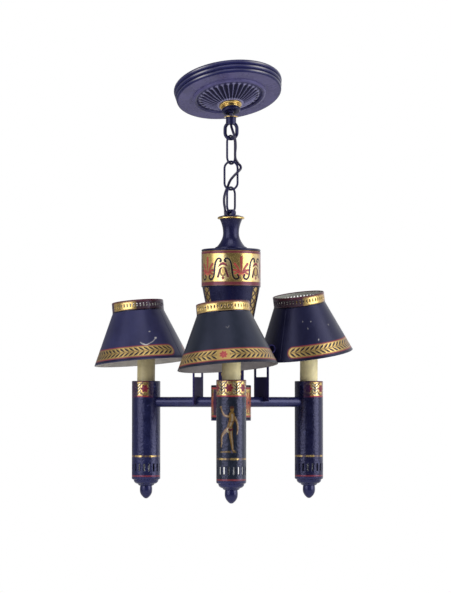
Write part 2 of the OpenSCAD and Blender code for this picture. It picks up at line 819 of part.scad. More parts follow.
module bulb_clip(i) {
  band_r = bulb_d / 2 + clip_gap;
  cap_z = spider_z + spider_hub_h + post_cap_gap;
  color("#b8963c")
    at_bulge(i) {
      rotate_extrude()
        translate([band_r, -clip_w / 2]) square([clip_t, clip_w]);
      for (side = [-1, 1])
        translate([side * (band_r + clip_t / 2) - clip_t / 2, -clip_w / 2, 0])
          cube([clip_t, clip_w, post_low + clip_t]);
      translate([-band_r - clip_t / 2, -clip_w / 2, post_low])
        cube([2 * band_r + clip_t, clip_w, clip_t]);
      translate([-shade_shift[i], 0, 0]) {
        translate([0, 0, post_low + clip_t / 2])
          cylinder(h = spider_z - seat_gap - post_low - clip_t / 2, d = post_d + 2 * post_step);
        translate([0, 0, spider_z - overcut]) cylinder(h = cap_z - spider_z + overcut, d = post_d);
        translate([0, 0, cap_z]) cylinder(h = post_cap_h, d = post_d + 2 * (post_step + post_cap_over));
      }
    }
}

module shade(i) {
  base_z = -shade_drop;
  cone_top_z = base_z + shade_h;
  gallery_top_z = cone_top_z + gallery_h;
  color("#241f33")
    at_shade(i) {
      difference() {
        rotate_extrude($fn = 96)
          polygon([
            [shade_base_d / 2, base_z],
            [shade_top_d / 2, cone_top_z],
            [shade_top_d / 2, gallery_top_z],
            [shade_top_d / 2 - shade_wall, gallery_top_z],
            [shade_top_d / 2 - shade_wall, cone_top_z],
            [shade_base_d / 2 - shade_wall, base_z]
          ]);
        for (k = [0:gallery_holes - 1])
          rotate([0, 0, (k + 0.5) * 360 / gallery_holes])
            translate([shade_top_d / 2 - shade_wall - overcut, 0, cone_top_z + gallery_h / 2])
              rotate([0, 90, 0]) cylinder(h = shade_wall + 2 * overcut, d = gallery_hole_d, $fn = 10);
      }
      difference() {
        union() {
          translate([0, 0, spider_z]) cylinder(h = spider_hub_h, d = spider_hub_d);
          for (k = [0:2])
            rotate([0, 0, k * 120])
              translate([0, 0, spider_z + spider_hub_h / 2])
                rotate([0, 90, 0]) cylinder(h = shade_top_d / 2 - shade_wall / 2, d = spider_wire, $fn = 24);
        }
        translate([0, 0, spider_z - overcut])
          cylinder(h = spider_hub_h + 2 * overcut, d = post_d + 2 * post_gap);
      }
    }
}

module scroll_strap(i) {
  curl_z = strap_top - curl_r;
  color("#241f33")
    at_arms()
      rotate([0, 0, ANGLES[i]]) {
        difference() {
          translate([strap_r, -strap_w / 2, -strap_foot]) cube([strap_t, strap_w, curl_z + strap_foot]);
          translate([strap_r - overcut, window_bar - strap_w / 2, window_low])
            cube([strap_t + 2 * overcut, strap_w - 2 * window_bar, window_h]);
          translate([strap_r - overcut, 0, 0])
            rotate([0, 90, 0]) cylinder(h = strap_t + 2 * overcut, d = arm_hole_d);
        }
        translate([strap_r + curl_r, strap_w / 2, curl_z])
          rotate([90, 0, 0])
            rolled_sheet(curl_r, strap_t, strap_w);
      }
}

// Rolled sheet: an arc of wall t and outside radius r, from straight back round to three quarters of a turn
module rolled_sheet(r, t, w) {
  linear_extrude(height = w)
    difference() {
      circle(r = r);
      circle(r = r - t);
      translate([-r - overcut, -2 * r - overcut]) square([r + overcut, 2 * r + overcut]);
    }
}

canopy_shell();
crossbar();
nipple();
locknut();
collar_ring();
collar_loop();
chain_link_1();
chain_link_2();
chain_link_3();
lead();
hanging_eye();
neck_flange();
neck();
drum();
cone();
hub();
hub_cap();
centre_rod();
rod_nut();
arm_nuts();
for (i = [0:2]) {
  arm(i);
  candle_tube(i);
  bottom_cap(i);
  finial(i);
  candle_sleeve(i);
  socket(i);
  socket_stem(i);
  bulb(i);
  bulb_clip(i);
  shade(i);
  scroll_strap(i);
}
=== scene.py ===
"""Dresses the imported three-light tole chandelier: japanned sheet metal, gilt friezes, chain and clip-on shades.

Sizes are millimetres and become metres when a mesh is laid. Every piece is a numpy surface in the CAD frame.
"""

import logging
import math
from dataclasses import dataclass, field, replace
from enum import Enum
from functools import partial

import bmesh
import bpy
import numpy as np
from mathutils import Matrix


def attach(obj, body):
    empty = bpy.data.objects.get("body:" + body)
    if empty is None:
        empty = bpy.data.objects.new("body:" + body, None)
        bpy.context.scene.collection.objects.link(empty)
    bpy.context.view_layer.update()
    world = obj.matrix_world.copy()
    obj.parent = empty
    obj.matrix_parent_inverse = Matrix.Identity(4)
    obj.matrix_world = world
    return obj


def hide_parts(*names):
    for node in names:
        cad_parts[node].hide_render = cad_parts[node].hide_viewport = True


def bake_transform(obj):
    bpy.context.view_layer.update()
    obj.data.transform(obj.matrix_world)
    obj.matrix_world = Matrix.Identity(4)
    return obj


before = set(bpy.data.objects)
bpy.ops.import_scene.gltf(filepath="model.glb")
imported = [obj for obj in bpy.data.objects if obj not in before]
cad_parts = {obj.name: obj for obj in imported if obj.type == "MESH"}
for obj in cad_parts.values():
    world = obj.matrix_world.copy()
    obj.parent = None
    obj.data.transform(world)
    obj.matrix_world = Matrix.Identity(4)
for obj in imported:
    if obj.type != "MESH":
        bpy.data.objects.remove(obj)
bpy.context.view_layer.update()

LOG = logging.getLogger("tole_chandelier")
MM = 0.001
PIVOT = np.array([4.54776, -12.60397, -35.5008])
FLANGE_TOP = -139.1
NECK_TOP = -144.3
ARM_Z = -385.1
REACH = 126.0
TUBE_TOP = 28.0
SLEEVE_RISE = 30.0
NAMES = ("front", "right", "left")
ANGLES = (-90.0, 34.0, 154.0)
CANDLE_LIFT = (0.0, 20.0, 9.0)
# A distance that keeps a painted mark off a place.
FAR_OFF = 99.0


def linear(code: str) -> np.ndarray:
    """Turns an sRGB hex colour, "#rrggbb", into three values of linear light."""
    srgb = np.array([int(code[k:k + 2], 16) for k in (1, 3, 5)]) / 255.0
    return np.where(srgb <= 0.04045, srgb / 12.92, ((srgb + 0.055) / 1.055) ** 2.4)


def turn_about(axis: int, degrees: float) -> np.ndarray:
    """Makes a right-handed turn about one axis.

    Args:
        axis: 0, 1 or 2 for X, Y or Z.
        degrees: angle of the turn.

    Returns:
        Rotation matrix.
    """
    c, s = math.cos(math.radians(degrees)), math.sin(math.radians(degrees))
    i, j = (axis + 1) % 3, (axis + 2) % 3
    matrix = np.eye(3)
    matrix[[i, i, j, j], [i, j, i, j]] = c, -s, s, c
    return matrix


turn_x, turn_y, turn_z = (partial(turn_about, axis) for axis in range(3))


@dataclass(frozen=True)
class Place:
    """Where a piece's own frame sits in the CAD frame.

    Attributes:
        turn: rotation matrix.
        at: origin in millimetres.
    """

    turn: np.ndarray
    at: np.ndarray

    def put(self, points: np.ndarray) -> np.ndarray:
        """Carries points of the piece's own frame into the CAD frame."""
        return points.reshape(-1, 3) @ self.turn.T + self.at


def plumb(z: float) -> Place:
    """Frame that hangs plumb under the swivel, at a height."""
    return Place(np.eye(3), PIVOT + [0, 0, z])


class Pigment(Enum):
    """Paints of the decoration: sRGB colour, and how much of it is metal leaf."""

    LACQUER = ("#121333", 0.0)
    GREEN_BLACK = ("#1a202b", 0.0)
    # Grounds painted lighter as lit (slate, tube blue) or darker as shaded (ink).
    LIT_SLATE = ("#292a4c", 0.0)
    LIT_TUBE_BLUE = ("#191c41", 0.0)
    SHADED_INK = ("#181935", 0.0)
    GOLD = ("#dabc78", 1.0)
    PALE_GOLD = ("#f3e5bd", 1.0)
    OCHRE = ("#8f7440", 0.7)
    TAN = ("#7d6030", 0.3)
    RED = ("#9a3c3c", 0.1)
    CORAL = ("#bd5a4c", 0.15)
    DARK_RED = ("#562430", 0.1)
    CRIMSON = ("#6e1f30", 0.1)
    BRICK = ("#74393f", 0.15)
    # Painted shade over gilding that faces away from the lamps.
    UNLIT_LEAF_SHADE = ("#2a1b3c", 0.1)
    BROWN = ("#4a2c22", 0.1)
    BLACK = ("#0e0d1c", 0.0)
    # Rim colour, also used for painted shade in the canopy's trough.
    RIM_AND_SHADE_NAVY = ("#20214e", 0.0)
    FACE_LILAC = ("#5a5682", 0.0)
    # Painted highlight on the flute ridges and painted shade in the grooves.
    RIDGE_HIGHLIGHT = ("#a3a0c6", 0.0)
    GROOVE_SHADE = ("#0b0b28", 0.0)
    # Inside greys: one primer, painted lighter as lit and darker as shaded.
    LIT_INSIDE_GREY = ("#c6c1b9", 0.0)
    SHADED_INSIDE_GREY = ("#958f8d", 0.0)
    CARD = ("#fbeeb8", 0.0)
    # Painted shade on one side of each sleeve.
    SLEEVE_SHADE = ("#654f33", 0.0)
    # Pale: chips, the figure's light lines, and painted glints on the canopy reeds.
    PALE_FLECK = ("#c9c6c2", 0.0)

    @property
    def light(self) -> np.ndarray:
        """Linear colour."""
        return linear(self.value[0])

    @property
    def leaf(self) -> float:
        """Share of metal leaf."""
        return self.value[1]


@dataclass
class Brushwork:
    """Paint on a surface laid flat, u round it and v up it, in millimetres.

    Marks take a u of their own where they repeat or are mirrored.

    Attributes:
        u: distance round the surface at each vertex.
        v: height at each vertex.
        ground: paint that covers everything first.
        edge: width of a mark's soft edge.
    """

    u: np.ndarray
    v: np.ndarray
    ground: Pigment
    edge: float = 0.6
    colour: np.ndarray = field(init=False)
    leaf: np.ndarray = field(init=False)

    def __post_init__(self) -> None:
        """Covers the surface with its ground."""
        self.colour = np.broadcast_to(self.ground.light, self.u.shape + (3,)).copy()
        self.leaf = np.full(self.u.shape, self.ground.leaf)

    def lay(self, cover: np.ndarray, paint: Pigment) -> None:
        """Mixes paint over the surface.

        Args:
            cover: share at each vertex or row, from 0 for none to 1 for all.
            paint: what is laid.
        """
        cover = np.clip(np.broadcast_to(cover, self.u.shape), 0.0, 1.0)
        self.colour += cover[..., None] * (paint.light - self.colour)
        self.leaf += cover * (paint.leaf - self.leaf)

    def cover_rows(self, first: int, paint: Pigment) -> None:
        """Covers every row from first on, such as the inside of a wall."""
        self.colour[first:], self.leaf[first:] = paint.light, paint.leaf

    def fill(self, gap: np.ndarray, paint: Pigment, strength: float = 1.0) -> None:
        """Fills where the signed distance gap is below zero, with a soft edge."""
        self.lay(strength * np.clip(0.5 - gap / self.edge, 0.0, 1.0), paint)

    def stripe(self, low: float, high: float, paint: Pigment, strength: float = 1.0) -> None:
        """Fills the level band between two heights."""
        self.fill(np.abs(self.v - (low + high) / 2) - (high - low) / 2, paint, strength)

    def spot(self, u: np.ndarray, centre: tuple, radius: float, paint: Pigment) -> None:
        """Fills a round spot."""
        self.fill(np.hypot(u - centre[0], self.v - centre[1]) - radius, paint)

    def stroke(self, u: np.ndarray, points: list, widths: tuple, paint: Pigment, strength: float = 1.0,
               span: int = 5) -> None:
        """Fills a brush stroke: least distance to the pieces of a smooth path, less the brush's half-width there.

        Args:
            u: distance round the surface.
            points: rows of u and v that the stroke runs through.
            widths: half-widths at the start, middle and end.
            paint: what it is painted with.
            strength: greatest cover.
            span: pieces between two points.
        """
        path = spline(points, span)
        a, d = path[:-1], np.diff(path, axis=0)
        du, dv = u[..., None] - a[:, 0], self.v[..., None] - a[:, 1]
        t = np.clip((du * d[:, 0] + dv * d[:, 1]) / np.maximum((d**2).sum(1), 1e-9), 0.0, 1.0)
        half = np.interp((np.arange(len(a)) + t) / len(a), (0.0, 0.5, 1.0), widths)
        self.fill((np.hypot(du - t * d[:, 0], dv - t * d[:, 1]) - half).min(axis=-1), paint, strength)

    def petal(self, u: np.ndarray, base: tuple, tip: tuple, half: float, paint: Pigment, full: float = 0.8,
              strength: float = 1.0, v: np.ndarray | None = None, clear: np.ndarray | float = 0.0) -> None:
        """Fills a pointed leaf: distance off its axis less half times a power of the sine along it.

        Args:
            u: distance round the surface.
            base: where the leaf starts.
            tip: where it ends.
            half: greatest half-width.
            paint: what it is painted with.
            full: power of the sine, lower for a blunter leaf.
            strength: greatest cover.
            v: height, where it isn't the surface's own.
            clear: extra distance, which keeps the leaf out of places.
        """
        length = math.hypot(tip[0] - base[0], tip[1] - base[1])
        along = ((tip[0] - base[0]) / length, (tip[1] - base[1]) / length)
        du, dv = u - base[0], (self.v if v is None else v) - base[1]
        s = (du * along[0] + dv * along[1]) / length
        beyond = np.maximum(np.abs(s - 0.5) - 0.5, 0.0) * length
        gap = np.hypot(np.abs(dv * along[0] - du * along[1]), beyond)
        self.fill(gap - half * np.sin(np.pi * np.clip(s, 0.0, 1.0)) ** full + clear, paint, strength)

    def flower(self, u: np.ndarray, centre: tuple, size: float, petals: int, paint: Pigment, rim: Pigment) -> None:
        """Paints a round flower: a mean radius plus a cosine of the petal count, with a rim and heart of another paint.

        Args:
            u: distance round the surface.
            centre: its place.
            size: greatest radius.
            petals: how many.
            paint: paint of the petals.
            rim: paint of the rim and heart.
        """
        du, dv = u - centre[0], self.v - centre[1]
        gap = np.hypot(du, dv) - size * (0.82 + 0.18 * np.cos(petals * np.arctan2(dv, du)))
        self.fill(gap - 0.6, rim)
        self.fill(gap, paint)
        self.fill(np.abs(np.hypot(du, dv) - size * 0.42) - 0.35, rim, 0.8)
        self.spot(u, centre, size * 0.16, rim)

    def shade_unlit_leaf(self, angle: np.ndarray, bright_at: float, half: float, low: float = -math.inf) -> None:
        """Paints shade over the leaf above low, except within half degrees of its lit side and the opposite one:
        painted shade where the gilding faces away from the lamps.
        """
        off = np.abs(folded(np.degrees(angle) - bright_at, 180))
        self.lay(0.94 * np.clip((off - half) / 7, 0, 1) * (self.v > low), Pigment.UNLIT_LEAF_SHADE)

    def rgba(self) -> np.ndarray:
        """Colour with the share of metal leaf as its fourth value."""
        return np.concatenate([self.colour, self.leaf[..., None]], axis=-1).reshape(-1, 4)


def spline(points: np.ndarray, per_span: int) -> np.ndarray:
    """Smooth curve through points by the uniform Catmull-Rom cubic, end points doubled.

    Args:
        points: rows of coordinates.
        per_span: samples on each span.

    Returns:
        Rows along the curve, both ends included.
    """
    points = np.asarray(points, float)
    ext = np.concatenate([points[:1], points, points[-1:]])
    t = (np.arange(per_span) / per_span)[None, :, None]
    a, b, c, d = (ext[k:len(ext) - 3 + k, None] for k in range(4))
    rows = 0.5 * (2 * b + (c - a) * t + (2 * a - 5 * b + 4 * c - d) * t**2 + (3 * b - a - 3 * c + d) * t**3)
    return np.concatenate([rows.reshape(-1, points.shape[1]), points[-1:]])


def ring_quads(rows: int, cols: int, wrap_rows: bool, wrap_cols: bool = True) -> np.ndarray:
    """Quads of a grid, each as row, next column, next row and column, next row.

    Args:
        rows: grid rows.
        cols: grid columns.
        wrap_rows: joins the last row to the first.
        wrap_cols: joins the last column to the first.

    Returns:
        Index quads, facing out where columns run anticlockwise and rows run up.
    """
    i = np.arange(rows if wrap_rows else rows - 1)[:, None]
    j = np.arange(cols if wrap_cols else cols - 1)[None, :]
    i2, j2 = (i + 1) % rows, (j + 1) % cols
    return np.stack([i * cols + j, i * cols + j2, i2 * cols + j2, i2 * cols + j], axis=-1).reshape(-1, 4)


def soften(points: list, radius: float, steps: int = 4) -> np.ndarray:
    """Rounds a closed outline: each corner becomes a quadratic curve between points a radius before and after it.

    Args:
        points: corners in order.
        radius: distance from the corner, at most 0.45 of an edge.
        steps: pieces of each curve.

    Returns:
        Rows of the softened outline.
    """
    corner = np.asarray(points, float)
    ends = []
    for way in (1, -1):
        edge = np.roll(corner, way, axis=0) - corner
        length = np.linalg.norm(edge, axis=1, keepdims=True)
        ends.append(corner + edge / length * np.minimum(radius, 0.45 * length))
    a, b, corner = ends[0][:, None], ends[1][:, None], corner[:, None]
    t = np.linspace(0.0, 1.0, steps + 1)[None, :, None]
    return ((1 - t) ** 2 * a + 2 * t * (1 - t) * corner + t**2 * b).reshape(-1, 2)


def pairs(radius: np.ndarray | float, height: np.ndarray | float) -> np.ndarray:
    """Outline rows of radius and height; either may be one value for all rows."""
    return np.stack(np.broadcast_arrays(radius, height), axis=-1)


def folded(x: np.ndarray, pitch: float) -> np.ndarray:
    """Distance from the nearest of marks a pitch apart, from minus to plus half a pitch."""
    return (x + pitch / 2) % pitch - pitch / 2


def full_turn(columns: int) -> np.ndarray:
    """Even angles of one turn, the last short of the first."""
    return np.arange(columns) * 2 * np.pi / columns


def spun(profile: np.ndarray, angles: np.ndarray) -> np.ndarray:
    """Surface of revolution: each profile row of radius and height is carried round all angles, in radians."""
    r, z = profile[:, :1], profile[:, 1:2]
    return np.stack([r * np.cos(angles), r * np.sin(angles), np.broadcast_to(z, (len(z), len(angles)))], axis=-1)


def unrolled(heights: np.ndarray, angles: np.ndarray) -> list:
    """Angle and height of every vertex of a spun surface."""
    return np.broadcast_arrays(angles[None, :], heights[:, None])


def add_node(tree: bpy.types.NodeTree, kind: str, inputs: dict | None = None, **settings) -> bpy.types.Node:
    """Adds one shader node, with its settings, and fills or links its inputs.

    Args:
        tree: node tree.
        kind: node type, less its "ShaderNode".
        inputs: value or output socket for each input.
        settings: node properties.

    Returns:
        The node.
    """
    node = tree.nodes.new(f"ShaderNode{kind}")
    for name, value in settings.items():
        setattr(node, name, value)
    for key, value in (inputs or {}).items():
        if isinstance(value, bpy.types.NodeSocket):
            tree.links.new(value, node.inputs[key])
        else:
            node.inputs[key].default_value = value
    return node


def ramp(tree: bpy.types.NodeTree, value: bpy.types.NodeSocket, low: float, high: float, to_low: float = 0.0,
         to_high: float = 1.0) -> bpy.types.NodeSocket:
    """Maps the range from low to high onto another one, clamped."""
    return add_node(tree, "MapRange", {"Value": value, "From Min": low, "From Max": high, "To Min": to_low,
                                       "To Max": to_high}).outputs["Result"]


def maths(tree: bpy.types.NodeTree, operation: str, a: bpy.types.NodeSocket,
          b: bpy.types.NodeSocket | float) -> bpy.types.NodeSocket:
    """Joins two values by one operation."""
    return add_node(tree, "Math", {0: a, 1: b}, operation=operation).outputs[0]


@dataclass(frozen=True)
class Finish:
    """A surface finish, built as a principled material with mottled colour, uneven gloss and fine relief.

    Attributes:
        name: what the material really is.
        colour: main sRGB colour.
        shade: second colour that mottles the first.
        wear_and_sheen: colour of specks: rubbed wear on most finishes, painted sheen flecks on the lacquers.
        wear_and_sheen_share: how much of the surface the specks take, from 0 to 1.
        mottle_mm: size of the mottle.
        grain_mm: size of the fine relief.
        relief_mm: height of the fine relief.
        rough: least and greatest roughness.
        metallic: share of metal, or of the leaf where the piece is painted.
        painted: takes its colour and leaf from the piece's own paint.
        extra: other values for the shader's own sockets.
    """

    name: str
    colour: str = "#808080"
    shade: str = "#707070"
    wear_and_sheen: str = "#b0a89c"
    wear_and_sheen_share: float = 0.0
    mottle_mm: float = 18.0
    grain_mm: float = 0.9
    relief_mm: float = 0.03
    rough: tuple = (0.25, 0.4)
    metallic: float = 0.0
    painted: bool = False
    extra: tuple = ()

    def material(self) -> bpy.types.Material:
        """Builds the material, the first time only.

        Returns:
            The material.
        """
        known = bpy.data.materials.get(self.name)
        if known:
            return known
        made = bpy.data.materials.new(self.name)
        made.use_nodes = True
        tree = made.node_tree
        shader = tree.nodes["Principled BSDF"]
        where = add_node(tree, "TexCoord").outputs["Object"]

        def noise(size_mm: float, detail: float, roughness: float) -> bpy.types.NodeSocket:
            """Noise with features of about this size."""
            return add_node(tree, "TexNoise", {"Vector": where, "Scale": 1 / (size_mm * MM), "Detail": detail,
                                               "Roughness": roughness}).outputs["Fac"]

        def mixed(share: bpy.types.NodeSocket, under: bpy.types.NodeSocket | tuple, over: str) -> bpy.types.NodeSocket:
            """Colour mixed over another by share."""
            return add_node(tree, "Mix", {"Factor": share, 6: under, 7: (*linear(over), 1)},
                            data_type="RGBA").outputs[2]

        mottle = noise(self.mottle_mm, 5.0, 0.6)
        if self.painted:
            paint = add_node(tree, "Attribute", attribute_name="paint").outputs
            dulled = ramp(tree, mottle, 0.3, 0.7, 0.72, 1.08)
            colour = add_node(tree, "VectorMath", {0: paint["Color"], "Scale": dulled},
                              operation="SCALE").outputs["Vector"]
            tree.links.new(maths(tree, "MULTIPLY", paint["Alpha"], self.metallic), shader.inputs["Metallic"])
        else:
            colour = mixed(ramp(tree, mottle, 0.35, 0.65), (*linear(self.colour), 1), self.shade)
            shader.inputs["Metallic"].default_value = self.metallic
        # Specks: rubbed wear on most finishes, painted sheen flecks on the lacquers.
        if self.wear_and_sheen_share:
            start = 0.74 - 0.2 * self.wear_and_sheen_share
            speck = noise(self.grain_mm * 4, 6.0, 0.7)
            colour = mixed(ramp(tree, speck, start, start + 0.06, to_high=0.55), colour, self.wear_and_sheen)
        bump = add_node(tree, "Bump", {"Height": noise(self.grain_mm, 3.0, 0.5), "Distance": self.relief_mm * MM,
                                       "Strength": 1.0})
        tree.links.new(colour, shader.inputs["Base Color"])
        tree.links.new(ramp(tree, mottle, 0.3, 0.7, *self.rough), shader.inputs["Roughness"])
        tree.links.new(bump.outputs["Normal"], shader.inputs["Normal"])
        for key, value in self.extra:
            shader.inputs[key].default_value = value
        return made


# Old varnish with blue in it reflects less than clear glass does, and bluer.
BLUE_SHEEN = ("Specular Tint", (0.62, 0.62, 1.0, 1.0))
LOW_SHEEN = (("Specular IOR Level", 0.38), BLUE_SHEEN)
# Japan lacquer on tinplate: brushed and stoved, so a deep blue-black with a soft, slightly rippled gloss; its pale
# bluish specks are painted sheen flecks.
LACQUER = Finish("japan_lacquer", "#131433", "#1b1b3e", "#6d6a80", 0.2, 16, 2.2, 0.16, (0.22, 0.36), extra=LOW_SHEEN)
# The arms and tube ends: a glossier copy of the lacquer whose colour is painted lighter, as lit.
LIT_LACQUER = replace(LACQUER, name="lit_japan_lacquer", colour="#191b40", shade="#23254e", rough=(0.18, 0.3),
                         extra=(("Specular IOR Level", 0.5), BLUE_SHEEN))
# The straps had it thin and dull.
DULL_LACQUER = replace(LACQUER, name="dull_japan_lacquer", colour="#1d1a40", shade="#24204a", rough=(0.45, 0.6),
                       extra=(("Specular IOR Level", 0.12), BLUE_SHEEN))
# The left strap: the dull lacquer with its colour painted lighter, as lit.
LIT_STRAP_LACQUER = replace(DULL_LACQUER, name="lit_strap_japan_lacquer", colour="#37335f", shade="#3e3a68")
# The same lacquer under hand-laid stencil work: gold leaf shows as metal, the pigments stay glossy.
STENCIL = Finish("stencilled_lacquer", wear_and_sheen="#3a2a2e", wear_and_sheen_share=0.1, mottle_mm=14, grain_mm=1.1, relief_mm=0.05,
                 rough=(0.2, 0.34), metallic=0.9, painted=True, extra=LOW_SHEEN)
# That work on the candle tubes, brushed thicker with deeper relief; its many pale bluish specks are painted highlight
# flecks.
TUBE_STENCIL = replace(STENCIL, name="brushed_stencil_lacquer", wear_and_sheen="#4c4f7c", wear_and_sheen_share=0.6, mottle_mm=9,
                       grain_mm=3.0, relief_mm=0.45, rough=(0.18, 0.3),
                       extra=(("Specular IOR Level", 0.55), BLUE_SHEEN))
# And on the shades, rubbed down to a satin: a broad soft sheen.
SHADE_STENCIL = replace(STENCIL, name="satin_stencil_lacquer", mottle_mm=24, grain_mm=1.6, relief_mm=0.04,
                        rough=(0.3, 0.42))
# Satin stoving paint on the stamped canopy: a greyer blue, broad soft sheen.
CANOPY_PAINT = Finish("satin_stoving_paint", wear_and_sheen="#8a88a0", wear_and_sheen_share=0.08, mottle_mm=30, grain_mm=0.8,
                      relief_mm=0.02, rough=(0.24, 0.32), painted=True,
                      extra=(("Specular IOR Level", 0.25), BLUE_SHEEN))
# Grey primer inside a gallery: flat, a little dusty.
PRIMER = Finish("grey_primer", "#a9aba5", "#989a94", "#5c5a55", 0.12, 20, 1.0, 0.02, (0.55, 0.7))
# Brass, spun and lacquered, now tarnished in patches.
BRASS = Finish("aged_brass", "#ead08c", "#c09a52", "#3a2a18", 0.25, 9, 0.7, 0.03, (0.16, 0.34), 1.0)
# Zinc-plated steel of the fixings: dull grey crystals.
ZINC = Finish("zinc_plated_steel", "#a9abad", "#8d8f92", "#6d6660", 0.15, 5, 0.5, 0.02, (0.3, 0.5), 1.0)
# Card candle sleeve with a cream wax-like coat; each sleeve has one side painted darker as shade.
CREAM = Finish("cream_candle_card", wear_and_sheen="#a08f58", wear_and_sheen_share=0.12, mottle_mm=16, grain_mm=1.2, rough=(0.42, 0.55),
               painted=True)
# Moulded phenolic of the lamp sockets: near black, half matt.
PHENOLIC = Finish("moulded_phenolic", "#26211f", "#2f2926", "#4a423c", 0.1, 8, 0.6, 0.02, (0.35, 0.5))
# Frosted lamp glass: white, scatters light.
FROSTED = Finish("frosted_glass", "#f1ece0", "#e8e2d4", mottle_mm=20, grain_mm=0.4, relief_mm=0.01, rough=(0.3, 0.4),
                 extra=(("Transmission Weight", 0.35), ("IOR", 1.5)))
# Plastic jacket of the lead: dark, smooth, with a narrow highlight.
JACKET = Finish("pvc_lead_jacket", "#1c1838", "#221e42", "#4a485c", 0.1, 10, 0.7, 0.015, (0.22, 0.32))
# Matt paint of the studio floor: an even white without highlights.
FLOOR = Finish("matt_white_floor", "#f4f3f1", "#efeeec", rough=(0.7, 0.8), mottle_mm=160, relief_mm=0.0)


def lay_piece(name: str, points: np.ndarray, quads: np.ndarray, finish: Finish, body: str | None,
              stands_for: tuple = (), art: Brushwork | None = None, weld: bool = False,
              sharp: float = 38.0) -> bpy.types.Object:
    """Makes one piece from points in millimetres and rides it on its body.

    Args:
        name: piece name.
        points: rows of coordinates.
        quads: index quads.
        finish: surface finish.
        body: CAD body, or None for a piece left unattached.
        stands_for: CAD nodes that it replaces.
        art: paint of each vertex.
        weld: merges vertices that coincide, as at poles.
        sharp: edges steeper than this, in degrees, stay crisp.

    Returns:
        The object.
    """
    mesh = bpy.data.meshes.new(name)
    mesh.from_pydata((points * MM).tolist(), [], quads.tolist())
    if art is not None:
        layer = mesh.color_attributes.new("paint", "FLOAT_COLOR", "POINT")
        layer.data.foreach_set("color", art.rgba().astype(np.float32).ravel())
    if weld:
        work = bmesh.new()
        work.from_mesh(mesh)
        bmesh.ops.remove_doubles(work, verts=work.verts, dist=1e-6)
        work.to_mesh(mesh)
        work.free()
    mesh.polygons.foreach_set("use_smooth", np.ones(len(mesh.polygons), bool))
    mesh.set_sharp_from_angle(angle=math.radians(sharp))
    mesh.update()
    piece = bpy.data.objects.new(name, mesh)
    bpy.context.scene.collection.objects.link(piece)
    mesh.materials.append(finish.material())
    if body:
        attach(piece, body)
    if stands_for:
        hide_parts(*stands_for)
    LOG.info("%s: %d vertices, %d faces", name, len(mesh.vertices), len(mesh.polygons))
    return piece


def spun_piece(name: str, profile: np.ndarray, columns: int, place: Place, finish: Finish, body: str,
               stands_for: tuple = (), art: Brushwork | None = None, closed: bool = True) -> bpy.types.Object:
    """Lays an outline spun about its axis, welded unless it is painted.

    Args:
        name: piece name.
        profile: rows of radius and height.
        columns: columns round the axis.
        place: where the axis stands.
        finish: surface finish.
        body: CAD body.
        stands_for: CAD nodes that it replaces.
        art: paint of each vertex.
        closed: joins the last row to the first.

    Returns:
        The object.
    """
    points = place.put(spun(profile, full_turn(columns)))
    quads = ring_quads(len(profile), columns, closed)
    return lay_piece(name, points, quads, finish, body, stands_for, art, weld=art is None)


def thicken(piece: bpy.types.Object, wall: float, inside: Finish) -> None:
    """Gives an open sheet its wall inwards.

    Args:
        piece: the sheet.
        wall: thickness.
        inside: finish of the inside.
    """
    piece.data.materials.append(inside.material())
    shell = piece.modifiers.new("sheet", "SOLIDIFY")
    shell.thickness = wall * MM
    shell.offset = -1
    shell.material_offset = 1


